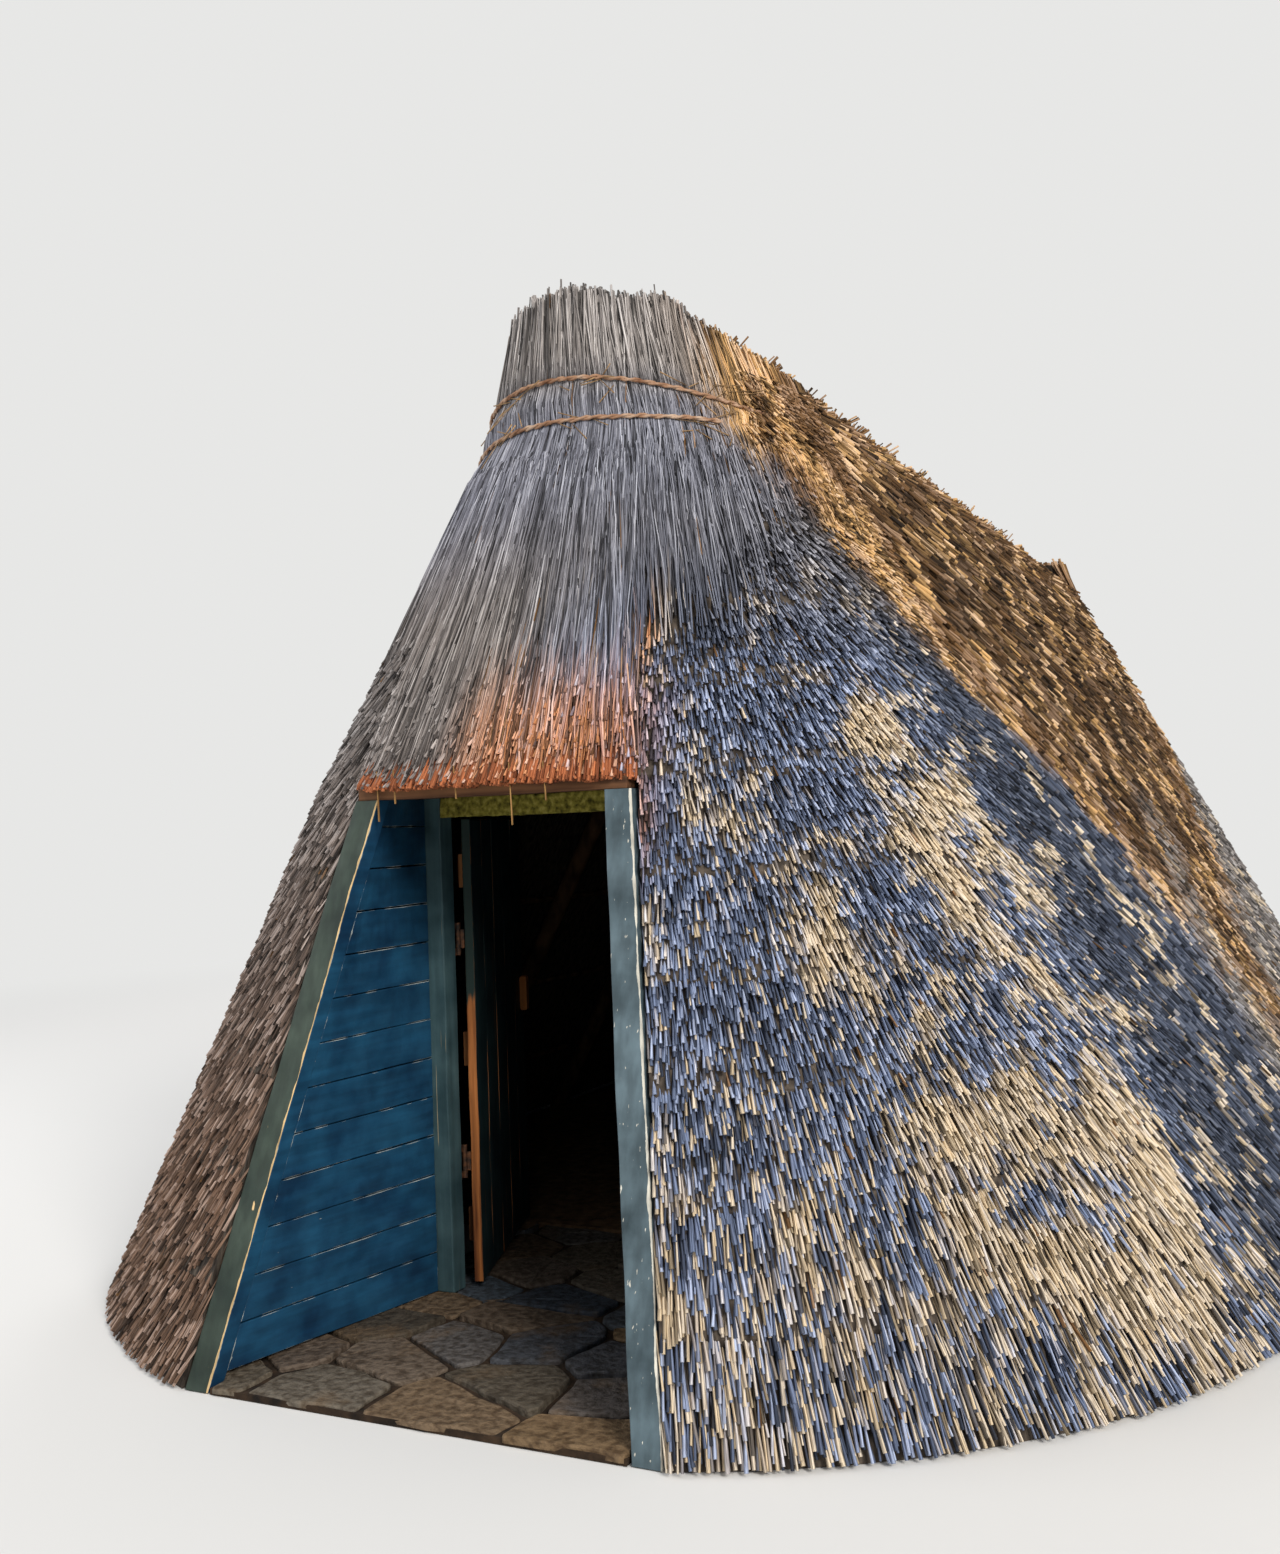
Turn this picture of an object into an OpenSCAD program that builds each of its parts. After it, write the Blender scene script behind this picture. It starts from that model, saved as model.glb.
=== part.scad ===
// A thatched hut whose roof comes down to the ground on all sides: an A-frame of poles with a
// rounded hip at each end, the thatch of each hip gathered and tied into a head at the ridge.
// The entrance is a splayed, board-lined recess cut into the front hip, with a ledged door
// that opens inward. Millimetres, +Z up, the door faces -Y, the origin is on the ground
// under the middle of the hut.

/* [Plan] */
// Half of the width across the thatch at the ground
foot_half = 2060; // [1700:10:2500]
// Length of the straight stretch between the centres of the two hips
ridge_len = 5300; // [3000:50:8000]
// How far a hip reaches out from its centre at the ground
hip_foot = 2030; // [1850:10:2500]
// How far the feet of the door posts stand back from the hip's reach at the ground
door_set = 130; // [80:5:200]
// How far the tops of the door posts stand back from the hip's reach at the lintel
top_set = 68; // [50:2:100]

/* [Roof form] */
// Height of the shoulders, where the sides turn in towards the ridge
shoulder_z = 2990; // [2800:10:3100]
// Half of the width across the thatch at the shoulders
shoulder_half = 516; // [480:2:560]
// Height at which the thatch of the sides ends under the ridge roll
side_top = 3200; // [3150:10:3600]
// Half of the width across the thatch at that height
top_half = 265; // [240:2:460]
// Reach of a hip at the height of the door's lintel
hip_at_door = 1475; // [1350:5:1600]
// Reach of a hip halfway between the lintel and the neck
hip_at_middle = 1195; // [1100:5:1300]
// Reach of a hip at the neck, where the tied head begins
hip_at_neck = 945; // [880:5:1050]
// Reach of the tied head at its top
head_reach = 865; // [780:5:900]
// Half of the width of the tied head at its top
head_half = 440; // [380:5:480]
// How far the tied heads rise above the thatch of the sides
head_lift = 0; // [0:5:80]
// How far the cut top of a head falls towards its right side
head_slant = 150; // [0:5:180]
// How far the cut top of a head rises at its back, where it closes the end of the roof
head_crown = 15; // [5:1:40]
// Height of a tied head, from the neck where the straw is gathered
head_rise = 500; // [460:10:620]

/* [Thatch] */
// Thickness of the thatch at the ground, measured level
thatch_foot = 180; // [120:5:220]
// Number of courses of thatch from the ground to the top of the door's lintel
low_courses = 6; // [3:1:8]
// Number of courses in each half of the rise from the lintel to the neck of a head
high_courses = 2; // [1:1:3]
// How far the cut lower edge of a course stands out over the course below
course_step = 18; // [4:1:30]
// Rise of that cut edge, which slants
course_cut = 24; // [10:1:40]
// Height of the ridge roll
crest_rise = 160; // [100:5:300]
// How far the ridge roll's foot overhangs the thatch on either side
crest_over = 25; // [10:1:60]
// Half of the width of the ridge roll at its crest
crest_tip = 90; // [60:5:140]

/* [Tie bands] */
// Height of the lower tie band above the neck
band_rise = 110; // [90:5:180]
// Rise from the lower tie band to the upper one
band_step = 140; // [120:5:170]
// How far the upper band of the front head sinks towards its right end
band_drop = 110; // [0:5:120]
// How far the bands sink towards their other ends
band_sag = 45; // [0:5:60]
// Thickness of a tie band
band_d = 22; // [14:1:34]

/* [Poles] */
// Diameter of the rafters
rafter_d = 76; // [60:2:80]
// Diameter of the laths that carry the thatch
lath_d = 26; // [18:1:30]
// Diameter of the ridge pole
ridge_d = 108; // [80:2:130]
// Free space between the ridge pole and the roll above it
ridge_gap = 21; // [5:1:40]
// Number of rafters on each long side
rafter_count = 6; // [3:1:9]
// Height of the lowest laths
lath_first = 350; // [200:10:450]
// Rise from one lath to the next
lath_rise = 420; // [300:10:440]

/* [Doorway] */
// Half of the width between the door posts at the ground
door_foot_half = 646; // [600:2:700]
// Half of the width between the door posts at their tops
door_top_half = 381; // [370:1:400]
// Height of the door posts
post_z = 1614; // [1590:2:1640]
// Width of a door post's face
post_w = 82; // [60:1:90]
// Thickness of a door post
post_t = 57; // [40:1:70]
// Depth of the recess under its ceiling, from the tops of the posts to the face of the jambs
recess = 403; // [340:1:450]
// How much of each jamb's face shows inside the recess
jamb_face = 57; // [40:1:68]
// Thickness of the boards that line the recess
board_t = 22; // [16:1:24]
// Width of a jamb across the opening
jamb_w = 95; // [80:1:120]
// Thickness of a jamb along the recess
jamb_t = 70; // [50:1:90]
// Half of the clear width of the door opening
opening_half = 430; // [400:1:440]
// Height of the face of the door head
head_h = 65; // [50:1:80]
// Thickness of the ceiling boards of the recess
ceiling_t = 25; // [18:1:28]
// Height of the lintel beam that the post tops carry
lintel_h = 36; // [30:1:60]

/* [Floor] */
// Thickness of the stone paving and of the earth floor
floor_t = 35; // [20:1:50]
// How far the stone paving runs past the jambs into the hut
paving_in = 780; // [600:10:1000]
// How far the stone paving reaches sideways past the inner edges of the posts
paving_side = 54; // [40:2:70]

/* [Door] */
// Thickness of the door's boards
leaf_t = 30; // [20:1:36]
// Gap round the closed door
leaf_gap = 6; // [5:0.5:10]
// Gap under the door
leaf_lift = 12; // [8:1:20]
// Angle at which the door stands open, in degrees
door_open = 110; // [0:1:115]
// Width of a ledge across the door's boards
ledge_w = 110; // [80:1:140]
// Thickness of a ledge
ledge_t = 24; // [18:1:30]
// Outer diameter of a hinge's knuckle
knuckle_d = 16; // [14:0.5:18]
// Diameter of a hinge's pin
pin_d = 8; // [6:0.5:9]
// Play of a hinge's pin in its knuckle, on the diameter
pin_play = 0.2; // [0.1:0.05:0.2]
// Height of a hinge's knuckle
knuckle_h = 60; // [40:1:90]
// Length of a hinge's strap
strap_len = 240; // [150:5:250]
// Width, thickness and height of the door's handle
handle_w = 44; // [30:1:60]
handle_t = 26; // [15:1:40]
handle_h = 130; // [80:5:180]

/* [Hidden] */

// Fine fit between pieces that touch
fit = 0.3;
// Free space between the thatch and the woodwork of the doorway
thatch_gap = 12;
// Columns of a hip's quarter and sides of a bent pole
quarter_cols = 6;
pole_sides = 8;
// Turns at which the pieces of hip thatch meet, at the front and at the rear
front_meet = 55;
rear_meet = 45;

// Overall length, and the centres of the hips and the feet of the door posts along it
door_in = hip_foot - door_set;
total_len = door_in + ridge_len + hip_foot;
door_y = -total_len / 2;
front_c = door_y + door_in;
rear_c = total_len / 2 - hip_foot;

// Doorway values that follow from the sizes above: the posts lean as the hip's face does
post_run = door_in - (hip_at_door - top_set);
jamb_y = post_run + recess;
post_lean = atan(post_run / post_z);
post_rise = norm([post_run, post_z]);
post_splay = atan((door_foot_half - door_top_half) / post_rise);
post_depth = post_t / cos(post_lean);
lintel_top = post_z + lintel_h;
ceiling_z = lintel_top - ceiling_t;
head_z = ceiling_z - head_h;
recess_half = opening_half + jamb_face;
paving_half = door_foot_half + paving_side;
floor_back = jamb_y + jamb_t + paving_in;

// Heights of the tied heads and their bands
head_top = side_top + head_lift;
neck_z = head_top - head_rise;
bend_z = neck_z + band_rise / 2;
band_low = neck_z + band_rise;
band_high = band_low + band_step;

// Heights at which a hip's slope changes, the rows of a head, and the reach of a hip
middle_z = (lintel_top + neck_z) / 2;
hip_rows = [0, lintel_top, middle_z, neck_z];
head_rows = [neck_z, bend_z, band_low, band_high, (band_high + head_top) / 2, head_top];
hip_reach = [[0, hip_foot], [lintel_top, hip_at_door], [middle_z, hip_at_middle],
             [neck_z, hip_at_neck], [bend_z, 0.4 * head_reach + 0.6 * hip_at_neck],
             [head_top, head_reach]];

// Heights at which the courses of thatch begin, and the rows of points up the outside: each
// course stands out at its cut edge and lies back to the slope under the next one
course_z = concat(
    [for (i = [0 : low_courses - 1]) lintel_top * i / low_courses],
    [for (i = [0 : high_courses - 1]) lintel_top + (middle_z - lintel_top) * i / high_courses],
    [for (i = [0 : high_courses - 1]) middle_z + (neck_z - middle_z) * i / high_courses]);
function cut_edge(z) = [[z - course_cut, 0], [z, course_step]];
slope_rows = concat([[0, 0]], [for (i = [1 : len(course_z) - 1]) each cut_edge(course_z[i])]);
thatch_rows = concat(slope_rows, [[neck_z, 0]]);

// Half width of the roof at a height, reach of a hip, and level thickness of the thatch
function slope_half(z) =
    lookup(z, [[0, foot_half], [shoulder_z, shoulder_half], [side_top, top_half]]);
function half_at(z) = z <= neck_z ? slope_half(z)
    : lookup(z, [[neck_z, slope_half(neck_z)], [head_top, head_half]]);
function reach_at(z) = lookup(z, hip_reach);
function thick_at(z) = thatch_foot + (thatch_high - thatch_foot) * z / shoulder_z;

// The inside of a long side: the thatch lies on laths, these on rafters that lean on the
// ridge pole, and so the slope follows from the pole's place and the foot
lath_in = lath_d / 2 + fit;
rafter_in = lath_d + 2 * fit + rafter_d / 2;
ridge_pole_z = side_top - ridge_gap - ridge_d / 2;
inner_foot = foot_half - thatch_foot;
inner_slope = atan(ridge_pole_z / inner_foot)
    + asin((rafter_in + rafter_d / 2 + fit + ridge_d / 2) / norm([inner_foot, ridge_pole_z]));
function inner_x(z, depth) = inner_foot - z / tan(inner_slope) - depth / sin(inner_slope);
thatch_high = shoulder_half - inner_x(shoulder_z, 0);

// A point on a hip: the turn is 0 at the front and 90 at the right side
function hip_point(turn, z, inset) =
    [(half_at(z) - inset) * sin(turn), -(reach_at(z) - inset) * cos(turn), z];

// Half of the width that the thatch leaves free for the doorway: for the posts at its face,
// and for the boards of the cheeks as well at its inside
function door_half(z) = door_foot_half
    - (door_foot_half - door_top_half) * min(z, lintel_top) / post_z;
function post_free(z) = door_half(z) + post_w / cos(post_splay) + thatch_gap;
function edge_x(z, inset) =
    inset > 0 ? max(post_free(z), recess_half + board_t + thatch_gap) : post_free(z);
function edge_turn(z, inset) =
    z > lintel_top ? edge_turn(lintel_top, inset > 0 ? thick_at(lintel_top) : 0)
    : asin(edge_x(z, inset) / (half_at(z) - inset));

// Turn of the edge of a thatch piece: a number, or the edge of the doorway on either side
function edge_of(edge, z, inset) = edge == "right" ? edge_turn(z, inset)
    : edge == "left" ? -edge_turn(z, inset) : edge;

// Triangles of a grid of points with rows of the given length, starting at an index
function grid_faces(start, rows, cols, turned) = [
    for (r = [0 : rows - 2], c = [0 : cols - 2])
        let (a = start + r * cols + c, b = a + 1, d = a + cols, e = d + 1)
        for (f = [[a, d, e], [a, e, b]]) turned ? [f[0], f[2], f[1]] : f];

// Triangles that close the rim between two such grids
function rim_faces(first, second, rows, cols) =
    let (rim = concat([for (c = [0 : cols - 1]) c],
                      [for (r = [1 : rows - 1]) r * cols + cols - 1],
                      [for (c = [1 : cols - 1]) rows * cols - 1 - c],
                      [for (r = [1 : rows - 2]) (rows - 1 - r) * cols]),
         n = len(rim))
    [for (i = [0 : n - 1])
        let (a = rim[i], b = rim[(i + 1) % n])
        for (f = a < b ? [[first + a, first + b, second + b], [first + a, second + b, second + a]]
                       : [[first + a, first + b, second + a], [first + b, second + b, second + a]])
            f];

// A piece of hip thatch between two edges, lofted through the rows of its courses
module hip_thatch(edge_0, edge_1, rows, cols) {
    function skin(inner) = [
        for (row = rows, c = [0 : cols])
            let (z = row[0],
                 inset = inner ? thick_at(z) : -row[1],
                 from = edge_of(edge_0, z, inset),
                 to = edge_of(edge_1, z, inset))
            hip_point(from + (to - from) * c / cols, z, inset)];
    count = len(rows) * (cols + 1);
    polyhedron(points = concat(skin(false), skin(true)),
               faces = concat(grid_faces(0, len(rows), cols + 1, false),
                              grid_faces(count, len(rows), cols + 1, true),
                              rim_faces(0, count, len(rows), cols + 1)));
}

// Height of a row of a head at a turn: above the bands the rows fall to the slanted top
function head_z(z, turn) = z <= band_high ? z
    : z - head_slant * max(0, sin(turn)) ^ 4 * (z - band_high) / (head_top - band_high);

// The gathered head of a hip, solid straw with a flat back against the ridge. The back reaches
// up to a crown over the inside of the roof
module hip_head() {
    cols = 4 * quarter_cols;
    turns = [for (c = [0 : cols]) -90 + 180 * c / cols];
    n = len(turns);
    skin = [for (z = head_rows, t = turns) hip_point(t, head_z(z, t), 0)];
    top = (len(head_rows) - 1) * n;
    back = [for (r = [0 : len(head_rows) - 2])
        let (a = r * n, b = a + n - 1)
        for (f = [[a, b, b + n], [a, b + n, a + n]]) f];
    floor_fan = [for (c = [1 : n - 2]) [0, c, c + 1]];
    crown = len(skin);
    crown_fan = [for (c = [0 : n - 2]) [crown, top + c + 1, top + c]];
    polyhedron(points = concat(skin, [[top_half, 0, head_top + head_crown]]),
               faces = concat(grid_faces(0, len(head_rows), n, false), back,
                              floor_fan, crown_fan, [[crown, top, top + n - 1]]));
}

// A pole swept along rings of points
module swept(rings) {
    n = len(rings[0]);
    last = (len(rings) - 1) * n;
    polyhedron(
        points = [for (ring = rings) for (p = ring) p],
        faces = concat(
            [for (r = [0 : len(rings) - 2], c = [0 : n - 1])
                let (a = r * n + c, b = r * n + (c + 1) % n)
                for (f = [[a, b + n, a + n], [a, b, b + n]]) f],
            [[for (c = [n - 1 : -1 : 0]) c]],
            [[for (c = [0 : n - 1]) last + c]]));
}

// Level distance from the inside of a hip's thatch to the middle of its rafters
hip_rafter_in = lath_d * 1.4 + 4 * fit + rafter_d / 2;

// A bent rafter of a hip: level rings with a corner that faces out
module hip_rafter(turn, rows) {
    swept([for (z = rows)
        let (p = hip_point(turn, z, thick_at(z) + hip_rafter_in))
        [for (s = [0 : pole_sides - 1])
            let (a = turn - 90 - s * 360 / pole_sides)
            p + rafter_d / 2 * [cos(a), sin(a), 0]]]);
}

// A pole bent round a hip, its rings turned up by a lean, at a height for each turn
module hip_hoop(turns, z_list, inset_list, lean_list, d) {
    swept([for (i = [0 : len(turns) - 1])
        let (t = turns[i], out = [sin(t), -cos(t), 0],
             p = hip_point(t, z_list[i], inset_list[i]))
        [for (s = [0 : pole_sides - 1])
            let (a = lean_list[i] + s * 360 / pole_sides)
            p + d / 2 * (cos(a) * out + [0, 0, sin(a)])]]);
}

// How far the inside of a hip leans back from upright at a turn and a height
function lean_at(t, z) = atan((half_at(z) - half_at(z + 1)) * sin(t) ^ 2
    + (reach_at(z) - reach_at(z + 1)) * cos(t) ^ 2 + thick_at(z + 1) - thick_at(z));

// The given turns with the middle between each two of them
function with_middles(turns) = [for (i = [0 : len(turns) - 1])
    each i == 0 ? [turns[0]] : [(turns[i - 1] + turns[i]) / 2, turns[i]]];

// A lath of a hip, bent at the rafters and lying on them, clear of the thatch
module hip_lath(stops, z) {
    turns = with_middles(stops);
    leans = [for (t = turns) lean_at(t, z)];
    insets = [for (lean = leans)
        thick_at(z) + hip_rafter_in - rafter_d / 2 - (lath_d / 2 + fit) / cos(lean)];
    hip_hoop(turns, [for (t = turns) z], insets, leans, lath_d);
}

// Shapes are drawn for a hip centred on the origin that faces -Y
module front_hip() { translate([0, front_c, 0]) children(); }
module rear_hip() { translate([0, rear_c, 0]) rotate([0, 0, 180]) children(); }
module at_door() { translate([0, door_y, 0]) children(); }

// A section drawn in X and Z, run along the straight stretch of the roof
module along_ridge(from, to) {
    translate([0, to, 0]) rotate([90, 0, 0]) linear_extrude(to - from) children();
}

// The thatch of a long side, which has one course more, from the neck to the shoulder
module side_thatch() {
    rows = concat(slope_rows, cut_edge(neck_z), [[shoulder_z, 0], [side_top, 0]]);
    along_ridge(front_c, rear_c)
        polygon(concat([for (row = rows) [slope_half(row[0]) + row[1], row[0]]],
                       [[inner_x(side_top, 0), side_top], [foot_half - thatch_foot, 0]]));
}

straw = [0.55, 0.5, 0.44];
wood = [0.42, 0.3, 0.2];
paint = [0.11, 0.24, 0.33];
grey_paint = [0.3, 0.37, 0.38];
iron = [0.2, 0.18, 0.17];

module thatch_over_door() {
    color([0.58, 0.42, 0.26]) front_hip()
        hip_thatch("left", "right", [for (row = thatch_rows) if (row[0] >= lintel_top) row],
                   quarter_cols);
}
module thatch_front_left() {
    color(straw) front_hip() hip_thatch(-front_meet, "left", thatch_rows, quarter_cols);
}
module thatch_front_right() {
    color(straw) front_hip() hip_thatch("right", front_meet, thatch_rows, quarter_cols);
}
module thatch_corner_left() {
    color(straw) front_hip() hip_thatch(-90, -front_meet, thatch_rows, quarter_cols);
}
module thatch_corner_right() {
    color(straw) front_hip() hip_thatch(front_meet, 90, thatch_rows, quarter_cols);
}
module thatch_side_left() { color(straw) mirror([1, 0, 0]) side_thatch(); }
module thatch_side_right() { color(straw) side_thatch(); }
module thatch_rear_left() {
    color(straw) rear_hip() hip_thatch(rear_meet, 90, thatch_rows, quarter_cols);
}
module thatch_rear_mid_left() {
    color(straw) rear_hip() hip_thatch(0, rear_meet, thatch_rows, quarter_cols);
}
module thatch_rear_mid_right() {
    color(straw) rear_hip() hip_thatch(-rear_meet, 0, thatch_rows, quarter_cols);
}
module thatch_rear_right() {
    color(straw) rear_hip() hip_thatch(-90, -rear_meet, thatch_rows, quarter_cols);
}
module thatch_head_front() { color(straw) front_hip() hip_head(); }
module thatch_head_rear() { color(straw) rear_hip() hip_head(); }

// The roll of straw along the ridge, lying on the upper edges of the two sides
module ridge_roll() {
    crest_half = top_half + crest_over;
    right = [[crest_half, side_top], [0.68 * crest_half, side_top + 0.12 * crest_rise],
             [0.45 * crest_half, side_top + 0.57 * crest_rise],
             [crest_tip, side_top + crest_rise]];
    color([0.66, 0.5, 0.3]) along_ridge(front_c, rear_c)
        polygon(concat(right, [for (i = [3 : -1 : 0]) [-right[i][0], right[i][1]]]));
}

// The two bands round a head, from the left side to where they dive under the right side's
// straw
band_end = 60;
module tie_bands(drop) {
    turns = [for (t = [-90 : 7.5 : band_end]) t];
    // A band's sides are straight between its rings, and this keeps them off the head
    chord_room = 1.03;
    for (z = [band_low, band_high]) {
        fall = z == band_high ? drop : 0;
        z_list = [for (t = turns) z - (t > 0 ? fall : band_sag) * sin(t) ^ 2];
        hip_hoop(turns, z_list, [for (t = turns) -(band_d / 2 + fit) * chord_room],
                 [for (t = turns) 0], band_d);
    }
}
module tie_bands_front() { color([0.5, 0.32, 0.16]) front_hip() tie_bands(band_drop); }
module tie_bands_rear() { color([0.5, 0.32, 0.16]) rear_hip() tie_bands(0); }

module ridge_pole() {
    color(wood) translate([0, front_c + fit, ridge_pole_z]) rotate([-90, 0, 0])
        cylinder(d = ridge_d, h = ridge_len - 2 * fit, $fn = 48);
}

// A straight rafter of a long side, cut level at the ground
module side_rafter() {
    top_z = side_top - rafter_d / 2 * cos(inner_slope) - 8 * fit;
    foot_z = -rafter_d;
    foot_x = inner_x(foot_z, rafter_in);
    run = norm([inner_x(top_z, rafter_in) - foot_x, top_z - foot_z]);
    difference() {
        translate([foot_x, 0, foot_z]) rotate([0, inner_slope - 90, 0])
            cylinder(d = rafter_d, h = run, $fn = 48);
        translate([foot_x - 2 * rafter_d, -rafter_d, -4 * rafter_d])
            cube([4 * rafter_d, 2 * rafter_d, 4 * rafter_d]);
    }
}
module side_rafters() {
    end = rafter_d;
    step = (ridge_len - 2 * end) / (rafter_count - 1);
    for (i = [0 : rafter_count - 1]) translate([0, front_c + end + i * step, 0]) side_rafter();
}
module rafters_left() { color(wood) mirror([1, 0, 0]) side_rafters(); }
module rafters_right() { color(wood) side_rafters(); }

inner_rows = concat([for (i = [0 : len(hip_rows) - 2]) hip_rows[i]], [neck_z - fit]);
over_door_rows = [for (z = inner_rows) if (z >= lintel_top) z == lintel_top ? z + fit : z];
beside_door_turns = [46, 68];
over_door_turn = 16;
module rafters_front() {
    color(wood) front_hip() for (side = [-1, 1]) {
        for (t = beside_door_turns) hip_rafter(side * t, inner_rows);
        hip_rafter(side * over_door_turn, over_door_rows);
    }
}
rear_turns = [-64, -32, 0, 32, 64];
module rafters_rear() {
    color(wood) rear_hip() for (t = rear_turns) hip_rafter(t, inner_rows);
}

// Laths: straight along the sides, bent round the hips
lath_heights = [for (z = lath_first; z < side_top - lath_rise / 2; z = z + lath_rise) z];
module side_laths() {
    for (z = lath_heights)
        translate([inner_x(z, lath_in), front_c + fit, z]) rotate([-90, 0, 0])
            cylinder(d = lath_d, h = ridge_len - 2 * fit, $fn = 32);
}
module laths_left() { color(wood) mirror([1, 0, 0]) side_laths(); }
module laths_right() { color(wood) side_laths(); }

// Turns at which the laths of the hips end, beside the sides and beside the doorway
lath_end = 88;
door_lath_turn = 34;
beside_door_stops = concat([door_lath_turn], beside_door_turns, [lath_end]);
function mirrored(turns) = [for (i = [len(turns) - 1 : -1 : 0]) -turns[i]];
module laths_front() {
    over_right = concat([over_door_turn], beside_door_turns, [lath_end]);
    color(wood) front_hip() for (z = lath_heights) {
        if (z < lintel_top + lath_d) {
            hip_lath(beside_door_stops, z);
            hip_lath(mirrored(beside_door_stops), z);
        }
        if (z > lintel_top + lath_d && z < neck_z - lath_d)
            hip_lath(concat(mirrored(over_right), over_right), z);
    }
}
module laths_rear() {
    color(wood) rear_hip() for (z = lath_heights) if (z < neck_z - lath_d)
        hip_lath(concat([-lath_end], rear_turns, [lath_end]), z);
}

// A leaning door post of the right side, cut level at the ground and under the lintel
module door_post() {
    intersection() {
        translate([door_foot_half, 0, 0]) rotate([-post_lean, 0, 0]) rotate([0, -post_splay, 0])
            translate([0, 0, -post_z / 4]) cube([post_w, post_t, post_z * 1.5]);
        translate([0, -post_z, 0]) cube([2 * foot_half, 2 * post_z, post_z]);
    }
}
module door_post_left() { color(grey_paint) at_door() mirror([1, 0, 0]) door_post(); }
module door_post_right() { color(grey_paint) at_door() door_post(); }

// The boards of a cheek: a wall that twists from the leaning post to the upright jamb
module cheek_boards() {
    rows = [for (i = [0 : 4]) floor_t + (ceiling_z - fit - floor_t) * i / 4];
    function front_x(z) = door_half(z) + fit;
    function front_y(z) = z * tan(post_lean) + post_depth + fit;
    face = [for (z = rows) each [[front_x(z), front_y(z), z], [recess_half, jamb_y, z]]];
    back = [for (p = face) p + [board_t, 0, 0]];
    count = len(face);
    polyhedron(points = concat(face, back),
               faces = concat(grid_faces(0, len(rows), 2, true),
                              grid_faces(count, len(rows), 2, false),
                              [for (f = rim_faces(0, count, len(rows), 2)) [f[0], f[2], f[1]]]));
}
module cheek_boards_left() { color(paint) at_door() mirror([1, 0, 0]) cheek_boards(); }
module cheek_boards_right() { color(paint) at_door() cheek_boards(); }

module jamb() {
    translate([opening_half, jamb_y, floor_t])
        cube([jamb_w, jamb_t, ceiling_z - floor_t]);
}
module jamb_left() { color(grey_paint) at_door() mirror([1, 0, 0]) jamb(); }
module jamb_right() { color(grey_paint) at_door() jamb(); }

module door_head() {
    color([0.5, 0.5, 0.2]) at_door() translate([-opening_half, jamb_y, head_z])
        cube([2 * opening_half, jamb_t, head_h]);
}
beam_half = door_top_half + 0.85 * post_w;
module lintel_beam() {
    color(wood) at_door() translate([-beam_half, post_run - fit, post_z])
        cube([2 * beam_half, post_depth + fit, lintel_h]);
}
module recess_ceiling() {
    front = post_run + post_depth;
    color(wood) at_door() translate([-beam_half, front, ceiling_z])
        cube([2 * beam_half, jamb_y + jamb_t - front, ceiling_t]);
}

// Paving of the recess and just inside the door, and the beaten earth behind it
module stone_paving() {
    post_clear = 4;
    mouth_half = door_half(floor_t) - post_clear;
    mouth = floor_t * tan(post_lean) + post_depth + post_clear;
    color([0.42, 0.39, 0.35]) at_door() linear_extrude(floor_t)
        polygon([[-mouth_half, 0], [mouth_half, 0], [mouth_half, mouth], [paving_half, mouth],
                 [paving_half, jamb_y + jamb_t], [0.85 * paving_half, floor_back],
                 [-0.85 * paving_half, floor_back], [-paving_half, jamb_y + jamb_t],
                 [-paving_half, mouth], [-mouth_half, mouth]]);
}
module earth_floor() {
    inset = thatch_foot + rafter_in + rafter_d;
    front_turn = acos((door_in - floor_back) / (hip_foot - inset));
    rear_arc = [for (t = [-90 : 15 : 90])
        [-(foot_half - inset) * sin(t), rear_c + (hip_foot - inset) * cos(t)]];
    corner = [(foot_half - inset) * sin(front_turn), door_y + floor_back];
    color([0.4, 0.3, 0.22]) linear_extrude(floor_t)
        polygon(concat(rear_arc, [[-corner[0], corner[1]], corner]));
}

// The door is drawn shut and then swung about its hinge axis
plate_t = 5;
hinge_x = -opening_half + leaf_gap / 2;
hinge_y = jamb_y + jamb_t + knuckle_d / 2 + plate_t;
leaf_half = opening_half - leaf_gap;
leaf_y = jamb_y + jamb_t - leaf_t - leaf_gap;
leaf_foot = floor_t + leaf_lift;
leaf_top = head_z - leaf_gap;
leaf_h = leaf_top - leaf_foot;
ledge_heights = [leaf_foot + 0.08 * leaf_h, leaf_foot + 0.46 * leaf_h, leaf_foot + 0.85 * leaf_h];
hinge_heights = [leaf_foot + 0.24 * leaf_h, leaf_foot + 0.72 * leaf_h];
module swung() {
    at_door() translate([hinge_x, hinge_y, 0]) rotate([0, 0, door_open])
        translate([-hinge_x, -hinge_y, 0]) children();
}
module door_boards() {
    color(paint) swung() translate([-leaf_half, leaf_y, leaf_foot])
        cube([2 * leaf_half, leaf_t, leaf_h]);
}
ledge_edge = 50;
module door_ledges() {
    color(wood) swung() for (z = ledge_heights)
        translate([-leaf_half + ledge_edge, leaf_y + leaf_t, z])
            cube([2 * (leaf_half - ledge_edge), ledge_t, ledge_w]);
}
// Diagonal between the two lower ledges, rising from the hinge side
module door_brace() {
    low = ledge_heights[0] + ledge_w;
    high = ledge_heights[1];
    from = -leaf_half + 2.4 * ledge_edge;
    to = leaf_half - 2.4 * ledge_edge;
    color(wood) swung() translate([0, leaf_y + leaf_t + ledge_t, 0]) rotate([90, 0, 0])
        linear_extrude(ledge_t)
            polygon([[from, low], [from + ledge_w, low], [to, high], [to - ledge_w, high]]);
}
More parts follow.
